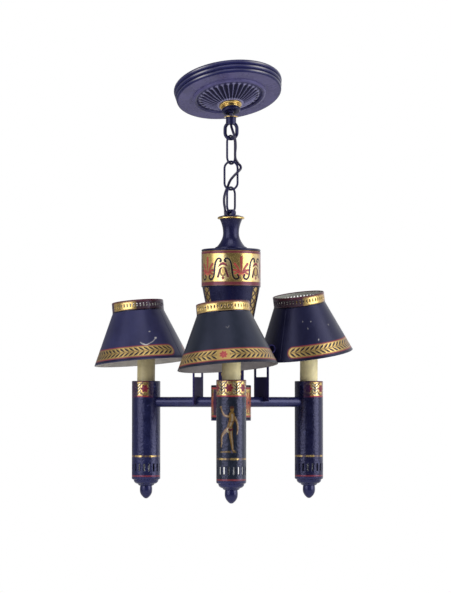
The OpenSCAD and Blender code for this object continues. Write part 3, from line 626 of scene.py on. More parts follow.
@dataclass
class Canopy:
    """Stamped ceiling canopy: reeded rim, flat face, raised ring, and a fluted centre with its swivel collar."""

    lean: float = 19.4
    roll: float = 7.3
    radius: float = 72.0
    rim_h: float = 17.0
    reeds: int = 3
    reed_bulge: float = 1.5
    wall: float = 1.5
    bore: float = 4.95
    face_mid: float = 55.0
    ring_r: float = 46.0
    ring_wire: float = 3.0
    flute_out: float = 38.0
    flute_in: float = 16.0
    flute_step: float = 2.5
    flute_rise: float = 10.5
    flutes: int = 32
    flute_depth: float = 3.2
    flute_end: float = 35.0
    flute_round: float = 5.6
    dome_rows: int = 30
    # Where the painted glints sit on the reeds, and their half-widths, in degrees.
    glint_at: tuple = (-119.0, -53.0, 8.0)
    glint_half: tuple = (9.0, 10.0, 12.0)
    columns: int = 512
    collar_columns: int = 96

    @property
    def turn(self) -> np.ndarray:
        """How the canopy leans."""
        return turn_y(-self.roll) @ turn_x(-self.lean)

    @property
    def boss(self) -> float:
        """Height of the fluted centre's flat end."""
        return -self.rim_h - self.flute_step - self.flute_rise

    def outline(self) -> np.ndarray:
        """Runs from the boss out over the dome, the face and the ring, up the reeds, and back inside.

        Returns:
            Closed rows of radius and height.
        """
        face, boss, wall, out = -self.rim_h, self.boss, self.wall, self.flute_out
        base = face - self.flute_step
        t = np.linspace(0.0, 1.0, self.dome_rows)
        dome = pairs(self.flute_in + (out - self.flute_in) * t, boss + self.flute_rise * t - 0.9 * np.sin(np.pi * t))
        a = np.linspace(np.pi, 0.0, 15)
        ring = pairs(self.ring_r + self.ring_wire * np.cos(a), face - self.ring_wire * np.sin(a))
        x = np.linspace(-1.0, 1.0, 9)
        k = np.arange(self.reeds)[:, None]
        reed_r = self.radius - (self.reeds - 1 - k) - self.reed_bulge * (1 - np.sqrt(1 - (0.97 * x) ** 2))
        reeds = pairs(reed_r, face + self.rim_h / self.reeds * (k + (x + 1) / 2)).reshape(-1, 2)
        reeds[-1, 1] = 0.0
        inner = self.radius - self.reeds - wall
        return np.vstack([
            (self.bore, boss), (self.flute_in - 1, boss), dome, (out + 1.6, base + 0.5), (out + 3.2, face - 0.4),
            (out + 5, face), ring, (self.face_mid, face), (self.radius - 5, face), reeds, (inner, 0.0),
            (inner, face + wall), (out + 4, face + wall), (out + 1, base + wall + 2.2),
            (self.flute_in, boss + wall + 2.2), (self.bore, boss + wall)])

    def build(self) -> None:
        """Lays the canopy: the spun outline, its fluted rows lifted by half-ellipse grooves with rounded ends."""
        outline, angles = self.outline(), full_turn(self.columns)
        grid = spun(outline, angles)
        r = outline[:, :1]
        x = 2 * ((angles * self.flutes / (2 * np.pi)) % 1.0) - 1
        on_dome = ((outline[:, 1] < -self.rim_h - 1.0) & (np.arange(len(outline)) < self.dome_rows + 4))[:, None]
        outer = np.sqrt(np.clip(1 - np.clip((r - self.flute_end) / self.flute_round, 0, 1) ** 2, 0, 1))
        width = 0.9 * outer * np.clip((r - self.flute_in) / 2.0, 0, 1)
        groove = np.sqrt(np.clip(1 - (x / np.maximum(width, 1e-6)) ** 2, 0, 1))
        depth = self.flute_depth * (0.45 + 0.55 * (r - self.flute_in) / (self.flute_out - self.flute_in))
        grid[..., 2] += np.where(on_dome & (r > self.flute_in) & (r < self.flute_out), depth * groove * outer, 0.0)
        art = self.paint(outline, angles)
        # Painted highlight on the flute ridges and painted shade in the grooves.
        art.lay((on_dome & (r < self.flute_out + 2)) * (1 - groove) ** 2 * 0.7, Pigment.RIDGE_HIGHLIGHT)
        art.lay(on_dome * groove * outer, Pigment.GROOVE_SHADE)
        lay_piece("canopy_pressing", Place(self.turn, np.zeros(3)).put(grid),
                  ring_quads(len(outline), self.columns, True), CANOPY_PAINT, "canopy",
                  ("canopy_shell",), art, sharp=50)
        self.build_collar()

    def paint(self, outline: np.ndarray, angles: np.ndarray) -> Brushwork:
        """Paints the face, the darker rim, painted shade in the trough inside the ring, and painted glints on the reeds
        over a faint even rub.

        Args:
            outline: rows of radius and height.
            angles: angles of the columns.

        Returns:
            The paint.
        """
        art = Brushwork(*unrolled(outline[:, 1], angles), Pigment.FACE_LILAC)
        r = outline[:, :1]
        art.lay(r > self.radius - 4.9, Pigment.RIM_AND_SHADE_NAVY)
        # Painted glints where the reeds catch the lamps, over a faint even rub.
        glint_and_rub = 0.07 + 0.75 * sum(np.exp(-(folded(np.degrees(art.u) - at, 360) / half) ** 2)
                                   for at, half in zip(self.glint_at, self.glint_half))
        in_reed = ((art.v + self.rim_h) / (self.rim_h / self.reeds)) % 1.0
        art.lay((r > self.radius - 3.4) * glint_and_rub * np.clip(1 - np.abs(in_reed - 0.5) / 0.22, 0, 1), Pigment.PALE_FLECK)
        # Painted shade in the trough inside the ring.
        art.lay(0.6 * np.clip((self.ring_r + 1.5 - r) / 2.5, 0, 1), Pigment.RIM_AND_SHADE_NAVY)
        return art

    def build_collar(self) -> None:
        """Lays the collar's brass flange and dark cup, and the brass lip on the loop's stem."""
        place = Place(self.turn, self.turn @ [0, 0, self.boss])
        flange = soften([(5.6, 0), (5.6, -6.2), (11.6, -6.2), (12, -5.8), (12, -2.9), (12.4, -2.5), (13.9, -2.5),
                         (14.75, -1.8), (14.75, -0.5), (14.2, 0)], 0.3)
        spun_piece("collar_brass_flange", flange, self.collar_columns, place, BRASS, "canopy",
                   ("collar_ring",))
        cup = soften([(5.6, -6.2), (5.6, -7.7), (5.0, -9.95), (4.5, -10.9), (10.8, -10.9), (12, -9.5), (12, -6.4),
                      (11.6, -6.2)], 0.3)
        spun_piece("collar_cup", cup, self.collar_columns, place, LACQUER, "canopy", ("collar_ring",))
        lip = soften([(6.9, -8.36), (9.3, -8.36), (9.58, -8.6), (9.58, -9.2), (9.3, -9.44), (6.9, -9.44)], 0.2)
        spun_piece("stem_brass_lip", lip, self.collar_columns, plumb(0.0), BRASS, "loop")


@dataclass
class Lead:
    """Twin lead that weaves down the chain, cut into four lengths."""

    radius: float = 1.7
    sides: int = 20
    per_span: int = 8
    bend: float = 8.0
    joints: tuple = (-38.0, -71.2, -105.3, -135.9)
    bodies: tuple = ("loop", "link_1", "link_2", "link_3", "fixture")
    cuts: tuple = (-54.0, -88.0, -120.5)
    route: tuple = ((0, 0, -14), (0, 0, -18.5), (0.6, -1.6, -22.5), (2, -5, -27.5), (4, -8, -34), (5.6, -8.4, -41.5),
                    (6, -5, -49.5), (5.4, -1, -57.5), (6, 0.8, -64.5), (9, 2, -70), (12.4, -0.2, -74), (12.6, -5, -78),
                    (9, -8, -82.5), (4, -7, -87.5), (0, -3.4, -92), (-2.4, 1.4, -96), (-4.4, 6.2, -101),
                    (-7, 7.6, -107), (-9, 4.6, -115.5), (-9, 0.6, -123.5), (-8, -2.2, -130.5),
                    (-7.6, -3, FLANGE_TOP + 2), (-7.6, -3, NECK_TOP - 2))

    def build(self) -> None:
        """Lays each length as a round section carried along the route, its frame turned by the path's own tangent."""
        path = spline(self.route, self.per_span)
        along = np.gradient(path, axis=0)
        along /= np.linalg.norm(along, axis=1, keepdims=True)
        across = np.cross(along, (0.0, 1.0, 0.01))
        across /= np.linalg.norm(across, axis=1, keepdims=True)
        up = np.cross(across, along)
        a = full_turn(self.sides)[None, :, None]
        grid = path[:, None] + self.radius * (np.cos(a) * across[:, None] + np.sin(a) * up[:, None])
        marks = [0, *(int(np.abs(path[:, 2] - z).argmin()) for z in self.cuts), len(path) - 1]
        for k, (first, last) in enumerate(zip(marks[:-1], marks[1:])):
            ends = np.repeat(path[[first, last], None], self.sides, axis=1)
            tube = np.concatenate([ends[:1], grid[first:last + 1], ends[1:]])
            piece = lay_piece(f"lead_{k + 1}", plumb(0.0).put(tube), ring_quads(len(tube), self.sides, False)[:, ::-1],
                              JACKET, None, ("lead",), weld=True)
            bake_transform(piece)


@dataclass
class Body:
    """Quiver-shaped body: brass flange, waisted neck, frieze drum, tapering cone and gilt hub."""

    neck_h: float = 39.8
    neck_columns: int = 128
    drum_r: float = 39.0
    drum_h: float = 50.0
    drum_rows: int = 106
    drum_columns: int = 560
    arches: int = 5
    arch_at: float = -106.0
    cone_h: float = 129.0
    cone_top_r: float = 38.0
    cone_low_r: float = 13.0
    cone_rows: int = 190
    cone_columns: int = 420
    stripe_at: float = 90.0
    stripe_half: float = 6.2
    lozenge: float = 10.0
    hub_r: float = 26.25
    hub_h: float = 44.0
    hub_rows: int = 92
    hub_columns: int = 360
    flower_at: float = -30.0
    spokes: int = 16
    bright_at: float = -28.0
    bright_half: float = 52.0

    def build(self) -> None:
        """Builds the body from the top down."""
        z = NECK_TOP
        self.build_neck(plumb(z))
        z -= self.neck_h + self.drum_h
        self.build_drum(plumb(z))
        z -= self.cone_h
        self.build_cone(plumb(z))
        self.build_hub(plumb(z - self.hub_h))

    def build_neck(self, place: Place) -> None:
        """Lays a brass-edged flange with a dark sloping top, and the neck: two parabolas that meet at the waist.

        Args:
            place: middle of the neck's upper end.
        """
        edge = soften([(13.5, 0), (17.2, 0), (17.85, 0.6), (17.85, 1.9), (17.2, 2.5), (13.5, 2.5)], 0.5)
        slope = soften([(4.85, 0.4), (13.4, 0.4), (16.9, 2.55), (16.6, 3.1), (9.6, 5.2), (4.85, 5.2)], 0.4)
        t = np.linspace(1.0, 0.0, 40)
        r = 10.5 + np.where(t < 0.5, 4.5, 8.5) * ((t - 0.5) / 0.5) ** 2
        low = -self.neck_h
        waist = np.vstack([(7.0, low), (20.4, low), (21.0, low + 0.6), (21.0, low + 2.2), (20.2, low + 3.0),
                           pairs(r, (low + 3) * t), (13.6, 0), (7.0, -5)])
        for name, outline, finish, slot, node in (("brass_edge", edge, BRASS, "brass", "neck_flange"),
                                                  ("sloping_top", slope, LACQUER, "lacquer", "neck_flange"),
                                                  ("spinning", waist, LACQUER, "lacquer", "neck")):
            spun_piece(f"neck_{name}", outline, self.neck_columns, place, finish, "fixture", (node,))

    def frieze(self, angle: np.ndarray, v: np.ndarray) -> Brushwork:
        """Paints the drum: scrolled arches and red palmettes in turn, between red bands.

        Args:
            angle: angle of each vertex, in radians.
            v: its height.

        Returns:
            The paint.
        """
        pitch = 2 * np.pi * self.drum_r / self.arches
        u = folded(self.drum_r * (angle - math.radians(self.arch_at)), pitch)
        art = Brushwork(u, v, Pigment.GOLD, 0.7)
        m = np.abs(u)
        w = pitch / 2 - m
        art.petal(u, (0, 6), (0, 42), 12, Pigment.PALE_GOLD, 0.4, 0.35)
        for low, high, paint in ((-9, 1.3, Pigment.BLACK), (1.3, 5.6, Pigment.BRICK), (5.4, 6.1, Pigment.DARK_RED),
                                 (43.2, 46.2, Pigment.BRICK), (42.9, 43.4, Pigment.DARK_RED),
                                 (46.6, 60, Pigment.LACQUER)):
            art.stripe(low, high, paint)
        arch = [(19.6, 14.6), (21.3, 13.6), (20.6, 10.4), (17.2, 9.0), (13.8, 12.0), (12.4, 18), (11.8, 24),
                (10.4, 31), (7.2, 35.8), (3.6, 35.6), (2.2, 33.0), (3.6, 31.8)]
        art.stroke(m, arch, (1.2, 1.45, 1.0), Pigment.BLACK, span=4)
        art.spot(m, (20.4, 13.8), 1.8, Pigment.BLACK)
        art.spot(m, (3.5, 32.4), 1.6, Pigment.BLACK)
        for points, widths, paint in (
                ([(0, 29.6), (3.2, 28.2), (6.4, 25.2)], (1.7, 1.5, 0.3), Pigment.DARK_RED),
                ([(0, 30.1), (2.6, 29.0), (4.4, 27.6)], (0.9, 0.8, 0.2), Pigment.RED),
                ([(0.4, 24.6), (3.6, 22.6), (5.2, 17.5), (6.9, 12.2)], (0.5, 1.3, 1.5), Pigment.DARK_RED)):
            art.stroke(m, points, widths, paint, span=6)
        art.petal(u, (0, 13.4), (0, 25.2), 3.6, Pigment.BROWN, 0.7)
        art.petal(u, (0, 14.2), (0, 24.6), 2.7, Pigment.GOLD, 0.7)
        art.stroke(u, [(0, 16.4), (0, 23.2)], (0.25, 0.5, 0.25), Pigment.BROWN, span=1)
        art.stroke(m, [(0.8, 13.6), (2.8, 14.6), (3.4, 17)], (0.5, 0.6, 0.3), Pigment.BROWN)
        art.petal(u, (0, 8.4), (0, 13.2), 1.7, Pigment.DARK_RED)
        art.petal(u, (0, 8.9), (0, 12.6), 1.0, Pigment.RED)
        self.palmette(art, w, np.where(m > pitch / 4, w, FAR_OFF))
        return art

    @staticmethod
    def palmette(art: Brushwork, w: np.ndarray, upright: np.ndarray) -> None:
        """Paints a palmette: club-shaped ribs fan out of a small scroll, each in a dark edge with a pale middle.

        Args:
            art: the drum's paint.
            w: distance from the palmette's middle.
            upright: the same, kept away from the arch for the middle rib.
        """
        heart = np.array([0, 15.6])
        for lean, length, half in ((86, 8.6, 1.2), (62, 11.0, 1.4), (34, 16.0, 1.55), (0, 21.5, 1.8)):
            slope = math.radians(lean)
            ahead = np.array([math.sin(slope), math.cos(slope)])
            rib = [heart + ahead * 1.8, heart + ahead * length * 0.55 + [0, 0.025 * lean], heart + ahead * length]
            for widths, paint, strength in (((0.7, half * 0.8 + 0.4, half + 0.4), Pigment.DARK_RED, 0.7),
                                            ((0.35, half * 0.8, half), Pigment.RED, 1.0),
                                            ((0.1, half * 0.25, half * 0.4), Pigment.CORAL, 0.7)):
                art.stroke(w if lean else upright, rib, widths, paint, strength)
        art.stroke(w, [(0, 15.4), (1.8, 16.6), (3.2, 15.2), (2.4, 13.8)], (0.9, 0.8, 0.5), Pigment.CORAL)
        art.spot(w, (0, 16.2), 1.2, Pigment.CORAL)

    def build_drum(self, place: Place) -> None:
        """Lays the drum: a dense wall under a rolled top rim, closed inside, with the frieze on it.

        Args:
            place: middle of its lower end.
        """
        a = np.linspace(-0.5, 0.5, 9) * np.pi
        outer = np.vstack([(38.6, 0.0), pairs(self.drum_r, np.linspace(0.4, 46.2, self.drum_rows)), (38.5, 46.5),
                           pairs(37.2 + 1.8 * np.cos(a), 48.1 + 1.8 * np.sin(a))])
        outline = np.vstack([outer, (36.6, 49.3), (5.0, 49.3), (5.0, 48.3), (36.0, 48.3), (37.6, 46.0), (37.6, 0.0)])
        art = self.frieze(*unrolled(outline[:, 1], full_turn(self.drum_columns)))
        art.cover_rows(len(outer), Pigment.LACQUER)
        spun_piece("drum_frieze", outline, self.drum_columns, place, STENCIL, "fixture", ("drum",), art)

    def build_cone(self, place: Place) -> None:
        """Lays the tapering cone with three gilt lozenge stripes down the spaces between the arms.

        Args:
            place: middle of its lower end.
        """
        high, low_r = self.cone_h, self.cone_low_r
        share = np.linspace(0.0, 1.0, self.cone_rows)
        outline = np.vstack([pairs(low_r + (self.cone_top_r - low_r) * share, high * share), (36.6, high),
                             (36.4, high - 2), (low_r - 1.3, 1.4), (4.95, 1.4), (4.95, 0.0)])
        angle, v = unrolled(outline[:, 1], full_turn(self.cone_columns))
        u = folded(angle - math.radians(self.stripe_at), 2 * np.pi / 3) * outline[:, :1]
        art = Brushwork(u, v, Pigment.LACQUER, 0.7)
        half = self.stripe_half * (0.55 + 0.45 * v / high)
        step = folded(v, self.lozenge)
        m = np.abs(u)
        clear = np.where(v > high - 1, FAR_OFF, 0.0)
        art.fill(m - half + clear, Pigment.GOLD, 0.92)
        art.fill(np.abs(m / half * 4.6 - np.abs(step)) - 1.3 + np.maximum(m - half, 0) * 9 + clear, Pigment.BLACK)
        art.fill(np.hypot(m, step * 0.8) - 1.0 + clear, Pigment.DARK_RED)
        art.fill(np.abs(m - half) - 0.3 + clear, Pigment.BROWN)
        art.cover_rows(self.cone_rows, Pigment.LACQUER)
        spun_piece("cone_quiver", outline, self.cone_columns, place, STENCIL, "fixture", ("cone",), art)

    def build_hub(self, place: Place) -> None:
        """Lays the gilt hub with a red radiating flower between each pair of arms.

        Args:
            place: middle of its lower end.
        """
        high = self.hub_h
        outline = np.vstack([(25.7, 0.0), pairs(self.hub_r, np.linspace(0.5, high - 0.8, self.hub_rows)), (25.6, high),
                             (4.95, high), (4.95, high - 1.4), (24.85, high - 1.4), (24.85, 0.0)])
        angle, v = unrolled(outline[:, 1], full_turn(self.hub_columns))
        u = folded(angle - math.radians(self.flower_at), 2 * np.pi / 3) * self.hub_r
        art = Brushwork(u, v, Pigment.GOLD, 0.7)
        centre = (0.0, 21.0)
        around, reach = np.arctan2(v - centre[1], u), np.hypot(u, v - centre[1])
        spoke = np.abs((around * self.spokes / (2 * np.pi)) % 1.0 - 0.5) * 2 * np.pi / self.spokes * reach
        art.fill(np.maximum(spoke - 0.5 - reach * 0.07, np.abs(reach - 7.6) - 5.6), Pigment.RED)
        art.fill(np.abs(reach - 14.2) - 0.5, Pigment.BROWN, 0.8)
        art.spot(u, centre, 2.0, Pigment.DARK_RED)
        # Painted shade over the hub's leaf away from its lit side.
        art.shade_unlit_leaf(angle, self.bright_at, self.bright_half)
        for low, top, paint in ((-9, 2.2, Pigment.BLACK), (2.2, 4.4, Pigment.RED), (38.6, 41.0, Pigment.RED),
                                (41.0, 60, Pigment.BLACK)):
            art.stripe(low, top, paint)
        spun_piece("hub_gilt", outline, self.hub_columns, place, STENCIL, "fixture", ("hub",), art)


@dataclass
class OfThree:
    """A sub-assembly that comes three times, once on each arm; its tuples hold one value for each."""

    index: int

    @property
    def name(self) -> str:
        """Which of the three it is."""
        return NAMES[self.index]

    @property
    def arm(self) -> Place:
        """Frame on the arm's axis at the body's middle, its own X pointing outwards."""
        return Place(turn_z(ANGLES[self.index]), PIVOT + [0, 0, ARM_Z])

    @property
    def place(self) -> Place:
        """Frame on the arm's axis at the candle's middle, its own X pointing outwards."""
        return Place(self.arm.turn, self.arm.at + self.arm.turn @ [REACH, 0, 0])


@dataclass
class Candle(OfThree):
    """One arm with its painted tube, stepped cap, acorn finial and cream sleeve."""

    arm_r: float = 6.75
    arm_bore: float = 5.25
    arm_from: float = 14.0
    arm_to: float = 114.0
    arm_columns: int = 64
    tube_r: float = 19.0
    tube_low: float = -100.0
    wall: float = 1.2
    vents: int = 18
    vent_w: float = 2.3
    vent_low: float = -92.0
    vent_high: float = -82.0
    vent_cells: int = 3
    wall_cells: int = 9
    figure_low: float = -65.0
    figure_high: float = -3.0
    band_low: float = 6.0
    rows: tuple = (8, 6, 22, 103, 5, 43)
    cap_h: float = 11.5
    finial_r: float = 8.2
    finial_h: float = 17.0
    finial_columns: int = 72
    sleeve_r: float = 12.0
    sleeve_depth: float = 16.0
    sleeve_rows: int = 40
    columns: int = 96
    band_end: float = 148.0
    line_at: float = -72.0
    bright_at: tuple = (0.0, 281.0, 103.0)
    bright_half: tuple = (80.0, 38.0, 20.0)
    # The left tube's ground is painted lighter, as lit.
    grounds: tuple = (Pigment.GREEN_BLACK, Pigment.LACQUER, Pigment.LIT_TUBE_BLUE)
    # Where each sleeve's painted shade falls, and how dark it gets.
    sleeve_shade_at: tuple = (-75.0, 146.0, 206.0)
    sleeve_shade_least: tuple = (0.04, 0.0, 0.45)
    sleeve_shade_most: tuple = (0.78, 0.34, 0.74)

    def build(self) -> None:
        """Builds the candle's pieces."""
        self.build_arm()
        self.build_tube()
        self.build_cap()
        self.build_sleeve()

    def build_arm(self) -> None:
        """Lays the arm: a tube's closed outline spun about the arm's own axis."""
        outline = soften([(self.arm_r, self.arm_from), (self.arm_r, self.arm_to), (self.arm_bore, self.arm_to),
                          (self.arm_bore, self.arm_from)], 0.4)
        lying = Place(self.arm.turn @ turn_y(90), self.arm.at)
        # The arm takes the lacquer painted lighter, as lit.
        spun_piece(f"arm_tube_{self.name}", outline, self.arm_columns, lying, LIT_LACQUER, "fixture",
                   (f"arm_{self.name}",))

    def ornament(self, angle: np.ndarray, v: np.ndarray) -> Brushwork:
        """Paints the tube: leafy gilt band at the top, a dancing figure outwards, and thin lines below.

        Args:
            angle: angle of each vertex, in radians.
            v: its height.

        Returns:
            The paint.
        """
        ground = self.grounds[self.index]
        u = self.tube_r * folded(angle, 2 * np.pi)
        art = Brushwork(u, v, ground)
        art.stripe(7.2, 40, Pigment.GOLD)
        fold = 2 * np.pi * self.tube_r / 6
        f = folded(u + 3.3, fold)
        w = fold / 2 - np.abs(f)
        wreath = np.abs(np.hypot(f - 0.6, 0.8 * (v - 17.8)) - 7.2) - 1.1 - 0.5 * np.cos(1.5 * v + 2.0)
        art.fill(wreath, Pigment.BROWN, 0.85)
        for height in (24.4, 20.4, 16.4, 12.4):
            art.petal(w, (0.4, height - 2.6), (4.8, height + 1.4), 1.05, Pigment.BLACK)
            art.petal(w, (1.2, height - 2.7), (4.6, height + 0.4), 0.6, Pigment.PALE_GOLD)
        art.stroke(w, [(0.0, 9.6), (0.4, 16), (0.0, 26)], (0.4, 0.55, 0.35), Pigment.BLACK, span=6)
        art.flower(f - 0.6, (0.0, 17.8), 5.2, 6, Pigment.CRIMSON, Pigment.RED)
        art.stripe(6.6, 8.4, Pigment.RED)
        art.stripe(26.4, 40, Pigment.BRICK)
        # Painted shade over the band's leaf away from its lit side.
        art.shade_unlit_leaf(angle, self.bright_at[self.index], self.bright_half[self.index], 6.6)
        art.lay((np.abs(u) > self.tube_r * math.radians(self.band_end)) & (v > 5.0), ground)
        self.paint_figure(art)
        worn = np.clip(0.45 + 0.55 * np.sin(0.34 * u + 2.1 * self.index) + 0.3 * np.sin(0.83 * u + 1.0), 0.08, 1.0)
        off = np.abs(v - self.line_at)
        art.fill(off - 1.0, Pigment.BROWN, 0.5)
        art.lay(np.clip((1.2 - off) / 0.5, 0, 1) * worn, Pigment.GOLD)
        art.fill(np.abs(v + 98.2) - 0.9, Pigment.RED, 0.65)
        return art

    @staticmethod
    def paint_figure(art: Brushwork) -> None:
        """Paints a plain classical dancer in tan: limbs are tapering strokes, drawn first in a dark outline.

        Args:
            art: the tube's paint.
        """
        u, v = art.u, art.v
        limbs = (
            ([(-3.6, -18.4), (-9.0, -16.6), (-12.4, -11.6), (-14.4, -7.0)], (1.5, 1.2, 0.9)),
            ([(4.6, -19.6), (7.6, -26.0), (8.6, -33.0), (7.6, -40.6)], (1.5, 1.2, 0.8)),
            ([(0.6, -16.2), (0.8, -22.0), (-1.6, -29.0), (-2.2, -34.0)], (3.6, 3.2, 3.0)),
            ([(-1.0, -33.6), (-0.6, -42.0), (0.8, -52.0), (1.6, -60.6)], (2.7, 1.9, 0.9)),
            ([(-3.6, -33.0), (-9.0, -38.4), (-12.8, -44.0), (-13.0, -53.0)], (2.5, 1.8, 0.8)),
            ([(1.6, -60.4), (3.2, -61.6), (4.6, -61.8)], (0.9, 0.9, 0.5)),
            ([(-13.0, -53.0), (-14.0, -55.4), (-13.2, -57.0)], (0.8, 0.8, 0.5)),
            ([(-15.6, -6.4), (-13.2, -6.2)], (1.0, 1.1, 0.8)),
        )
        for points, widths in limbs:
            art.stroke(u, points, tuple(w + 0.6 for w in widths), Pigment.BLACK)
        for points, widths in limbs:
            art.stroke(u, points, widths, Pigment.TAN)
            art.stroke(u - 0.5, points, tuple(w * 0.35 for w in widths), Pigment.PALE_FLECK, 0.25)
        art.fill(np.hypot((u - 1.0) / 2.3, (v + 9.8) / 3.1) * 2.6 - 2.6, Pigment.TAN)
        art.petal(u, (-2.0, -7.4), (3.4, -6.6), 1.7, Pigment.BROWN, 0.5)
        for points, widths, paint, strength in (
                ([(-4.6, -24.4), (0.5, -25.2), (4.4, -24.2)], (0.4, 0.6, 0.4), Pigment.BROWN, 1.0),
                ([(-5.4, -33.6), (-1.5, -35.4), (1.6, -34.0)], (0.9, 1.6, 0.8), Pigment.DARK_RED, 1.0),
                ([(-5.0, -33.4), (-4.4, -37.4), (-2.8, -38.0)], (0.5, 0.7, 0.3), Pigment.PALE_GOLD, 1.0),
                ([(-15.0, -63.2), (-4.0, -62.8), (6.0, -63.4)], (0.5, 0.8, 0.4), Pigment.OCHRE, 0.8)):
            art.stroke(u, points, widths, paint, strength)

    def build_tube(self) -> None:
        """Lays the tube: a dense grid with the slot cells left out, given its wall by a solidify."""
        pitch = 2 * np.pi / self.vents
        half = self.vent_w / 2 / self.tube_r
        cell = np.concatenate([np.linspace(-half, half, self.vent_cells, endpoint=False),
                               np.linspace(half, pitch - half, self.wall_cells, endpoint=False)])
        angles = (pitch / 2 + np.arange(self.vents)[:, None] * pitch + cell).ravel()
        levels = (self.tube_low, self.vent_low, self.vent_high, self.figure_low, self.figure_high, self.band_low,
                  TUBE_TOP - 0.5)
        rows = np.concatenate([*(np.linspace(low, high, count, endpoint=False) for low, high, count
                                 in zip(levels[:-1], levels[1:], self.rows)), levels[-1:]])
        quads = ring_quads(len(rows), len(angles), False)
        row, col = quads[:, 0] // len(angles), quads[:, 0] % len(angles)
        middle = (rows[row] + rows[row + 1]) / 2
        slot = (middle > self.vent_low) & (middle < self.vent_high) & (col % len(cell) < self.vent_cells)
        points = self.place.put(spun(pairs(self.tube_r, rows), angles))
        piece = lay_piece(f"tube_painted_{self.name}", points, quads[~slot], TUBE_STENCIL, "fixture",
                          (f"candle_tube_{self.name}",), self.ornament(*unrolled(rows, angles)))
        thicken(piece, self.wall, LACQUER)
        top = soften([(12.2, 26.8), (18.4, 26.8), (19.0, 27.2), (18.7, 28.0), (12.2, 28.0)], 0.35)
        spun_piece(f"tube_rim_{self.name}", top, self.columns, self.place, LACQUER, "fixture")

    def build_cap(self) -> None:
        """Lays the stepped cap and the acorn finial as spun outlines."""
        a = np.radians(np.linspace(80, 0, 10))
        cap = np.vstack([(5.0, 0), (5.0, -11.5), (8.6, -11.5), (10.4, -10.4), (10.9, -9.4),
                         pairs(10.5 + 6.0 * np.cos(a), -3.6 - 5.4 * np.sin(a)), (17.4, -3.2), (18.6, -2.6),
                         (19.0, -1.6), (19.0, 0)]) + [0.0, self.tube_low]
        # Cap and finial take the lacquer painted lighter, as lit.
        spun_piece(f"cap_stepped_{self.name}", cap, self.columns, self.place, LIT_LACQUER, "fixture",
                   (f"bottom_cap_{self.name}",))
        shape = spline([(0.0, -1.0), (0.2, -0.985), (0.4, -0.92), (0.7, -0.77), (0.91, -0.59), (1.0, -0.4),
                        (1.0, -0.14), (0.95, 0.0)], 5)
        acorn = np.vstack([shape * [self.finial_r, self.finial_h], (0.0, 0.0)]) + [0.0, self.tube_low - self.cap_h]
        spun_piece(f"finial_acorn_{self.name}", acorn, self.finial_columns, self.place, LIT_LACQUER, "fixture",
                   (f"finial_{self.name}",), closed=False)

    def build_sleeve(self) -> None:
        """Lays the cream sleeve, slightly wavy as dripped card is: radius less a small two-way wave."""
        i, count = self.index, self.sleeve_rows
        top, low = TUBE_TOP + SLEEVE_RISE + CANDLE_LIFT[i], TUBE_TOP - self.sleeve_depth
        outline = np.vstack([pairs(self.sleeve_r, np.linspace(low, top - 0.4, count)), (11.7, top), (10.9, top),
                             (10.8, top - 0.4), (10.8, low)])
        angles = full_turn(self.columns)
        grid = spun(outline, angles)
        z = outline[:count, 1:2]
        wave = 0.12 * (1 - np.cos(3 * angles + 0.05 * z) * np.cos(0.11 * z))
        grid[:count, :, :2] *= 1 - wave[..., None] / self.sleeve_r
        art = Brushwork(*unrolled(outline[:, 1], angles), Pigment.CARD)
        # Painted shade: one side of the sleeve darker.
        least, most = self.sleeve_shade_least[i], self.sleeve_shade_most[i]
        facing = (0.5 + 0.5 * np.cos(art.u - math.radians(self.sleeve_shade_at[i]))) ** 2
        art.lay(least + (most - least) * facing, Pigment.SLEEVE_SHADE)
        lay_piece(f"sleeve_cream_{self.name}", self.place.put(grid), ring_quads(len(outline), self.columns, True),
                  CREAM, "fixture", (f"candle_sleeve_{self.name}",), art)


@dataclass
class Strap(OfThree):
    """One sheet strap astride its arm, with a window and a rolled top."""

    inner: float = 48.0
    width: tuple = (33.0, 33.0, 29.0)
    wall: float = 1.4
    saddle: float = 6.95
    saddle_reach: float = 88.0
    saddle_columns: int = 31
    foot: tuple = (-3.0, 0.6, -4.5)
    plate_rows: int = 12
    window_low: float = 33.0
    window_h: float = 25.0
    window_bar: float = 3.6
    curl_r: float = 6.0
    curl_z: float = 70.0
    curl_rows: int = 37
    # The left strap's lacquer is painted lighter, as lit.
    finishes: tuple = (DULL_LACQUER, DULL_LACQUER, LIT_STRAP_LACQUER)

    def build(self) -> None:
        """Lays the strap: rows up from the saddle's half circle and three quarters round the curl, less the window."""
        half, finish = self.width[self.index] / 2, self.finishes[self.index]
        window_top = self.window_low + self.window_h
        over = self.saddle * np.sin(np.radians(np.linspace(-self.saddle_reach, self.saddle_reach, self.saddle_columns)))
        edge = np.array([self.saddle + 0.02, half - self.window_bar, half])
        y = np.concatenate([-edge[::-1], over, edge])
        arch = np.sqrt(np.clip(self.saddle**2 - y**2, 0, None))
        low = np.where(np.abs(y) < self.saddle, arch, self.foot[self.index])
        plate = low + (self.window_low - low) * np.linspace(0.0, 1.0, self.plate_rows)[:, None]
        arc = np.radians(np.linspace(180, -90, self.curl_rows))[1:, None]
        level = 0.0 * y
        z = np.vstack([plate, level + window_top, level + self.curl_z, self.curl_z + self.curl_r * np.sin(arc) + level])
        flat = np.zeros((self.plate_rows + 2, len(y)))
        x = np.vstack([flat, self.curl_r * (1 + np.cos(arc)) + level]) + self.inner
        grid = np.stack([x, np.broadcast_to(y, z.shape), z], axis=-1)
        quads = ring_quads(*z.shape, False, False)[:, ::-1]
        mx, my, mz = grid.reshape(-1, 3)[quads].mean(axis=1).T
        window = ((np.abs(my) < half - self.window_bar) & (mz > self.window_low) & (mz < window_top)
                  & (mx < self.inner + 0.1))
        piece = lay_piece(f"strap_sheet_{self.name}", self.arm.put(grid), quads[~window], finish, "fixture",
                          (f"scroll_strap_{self.name}",))
        thicken(piece, self.wall, finish)


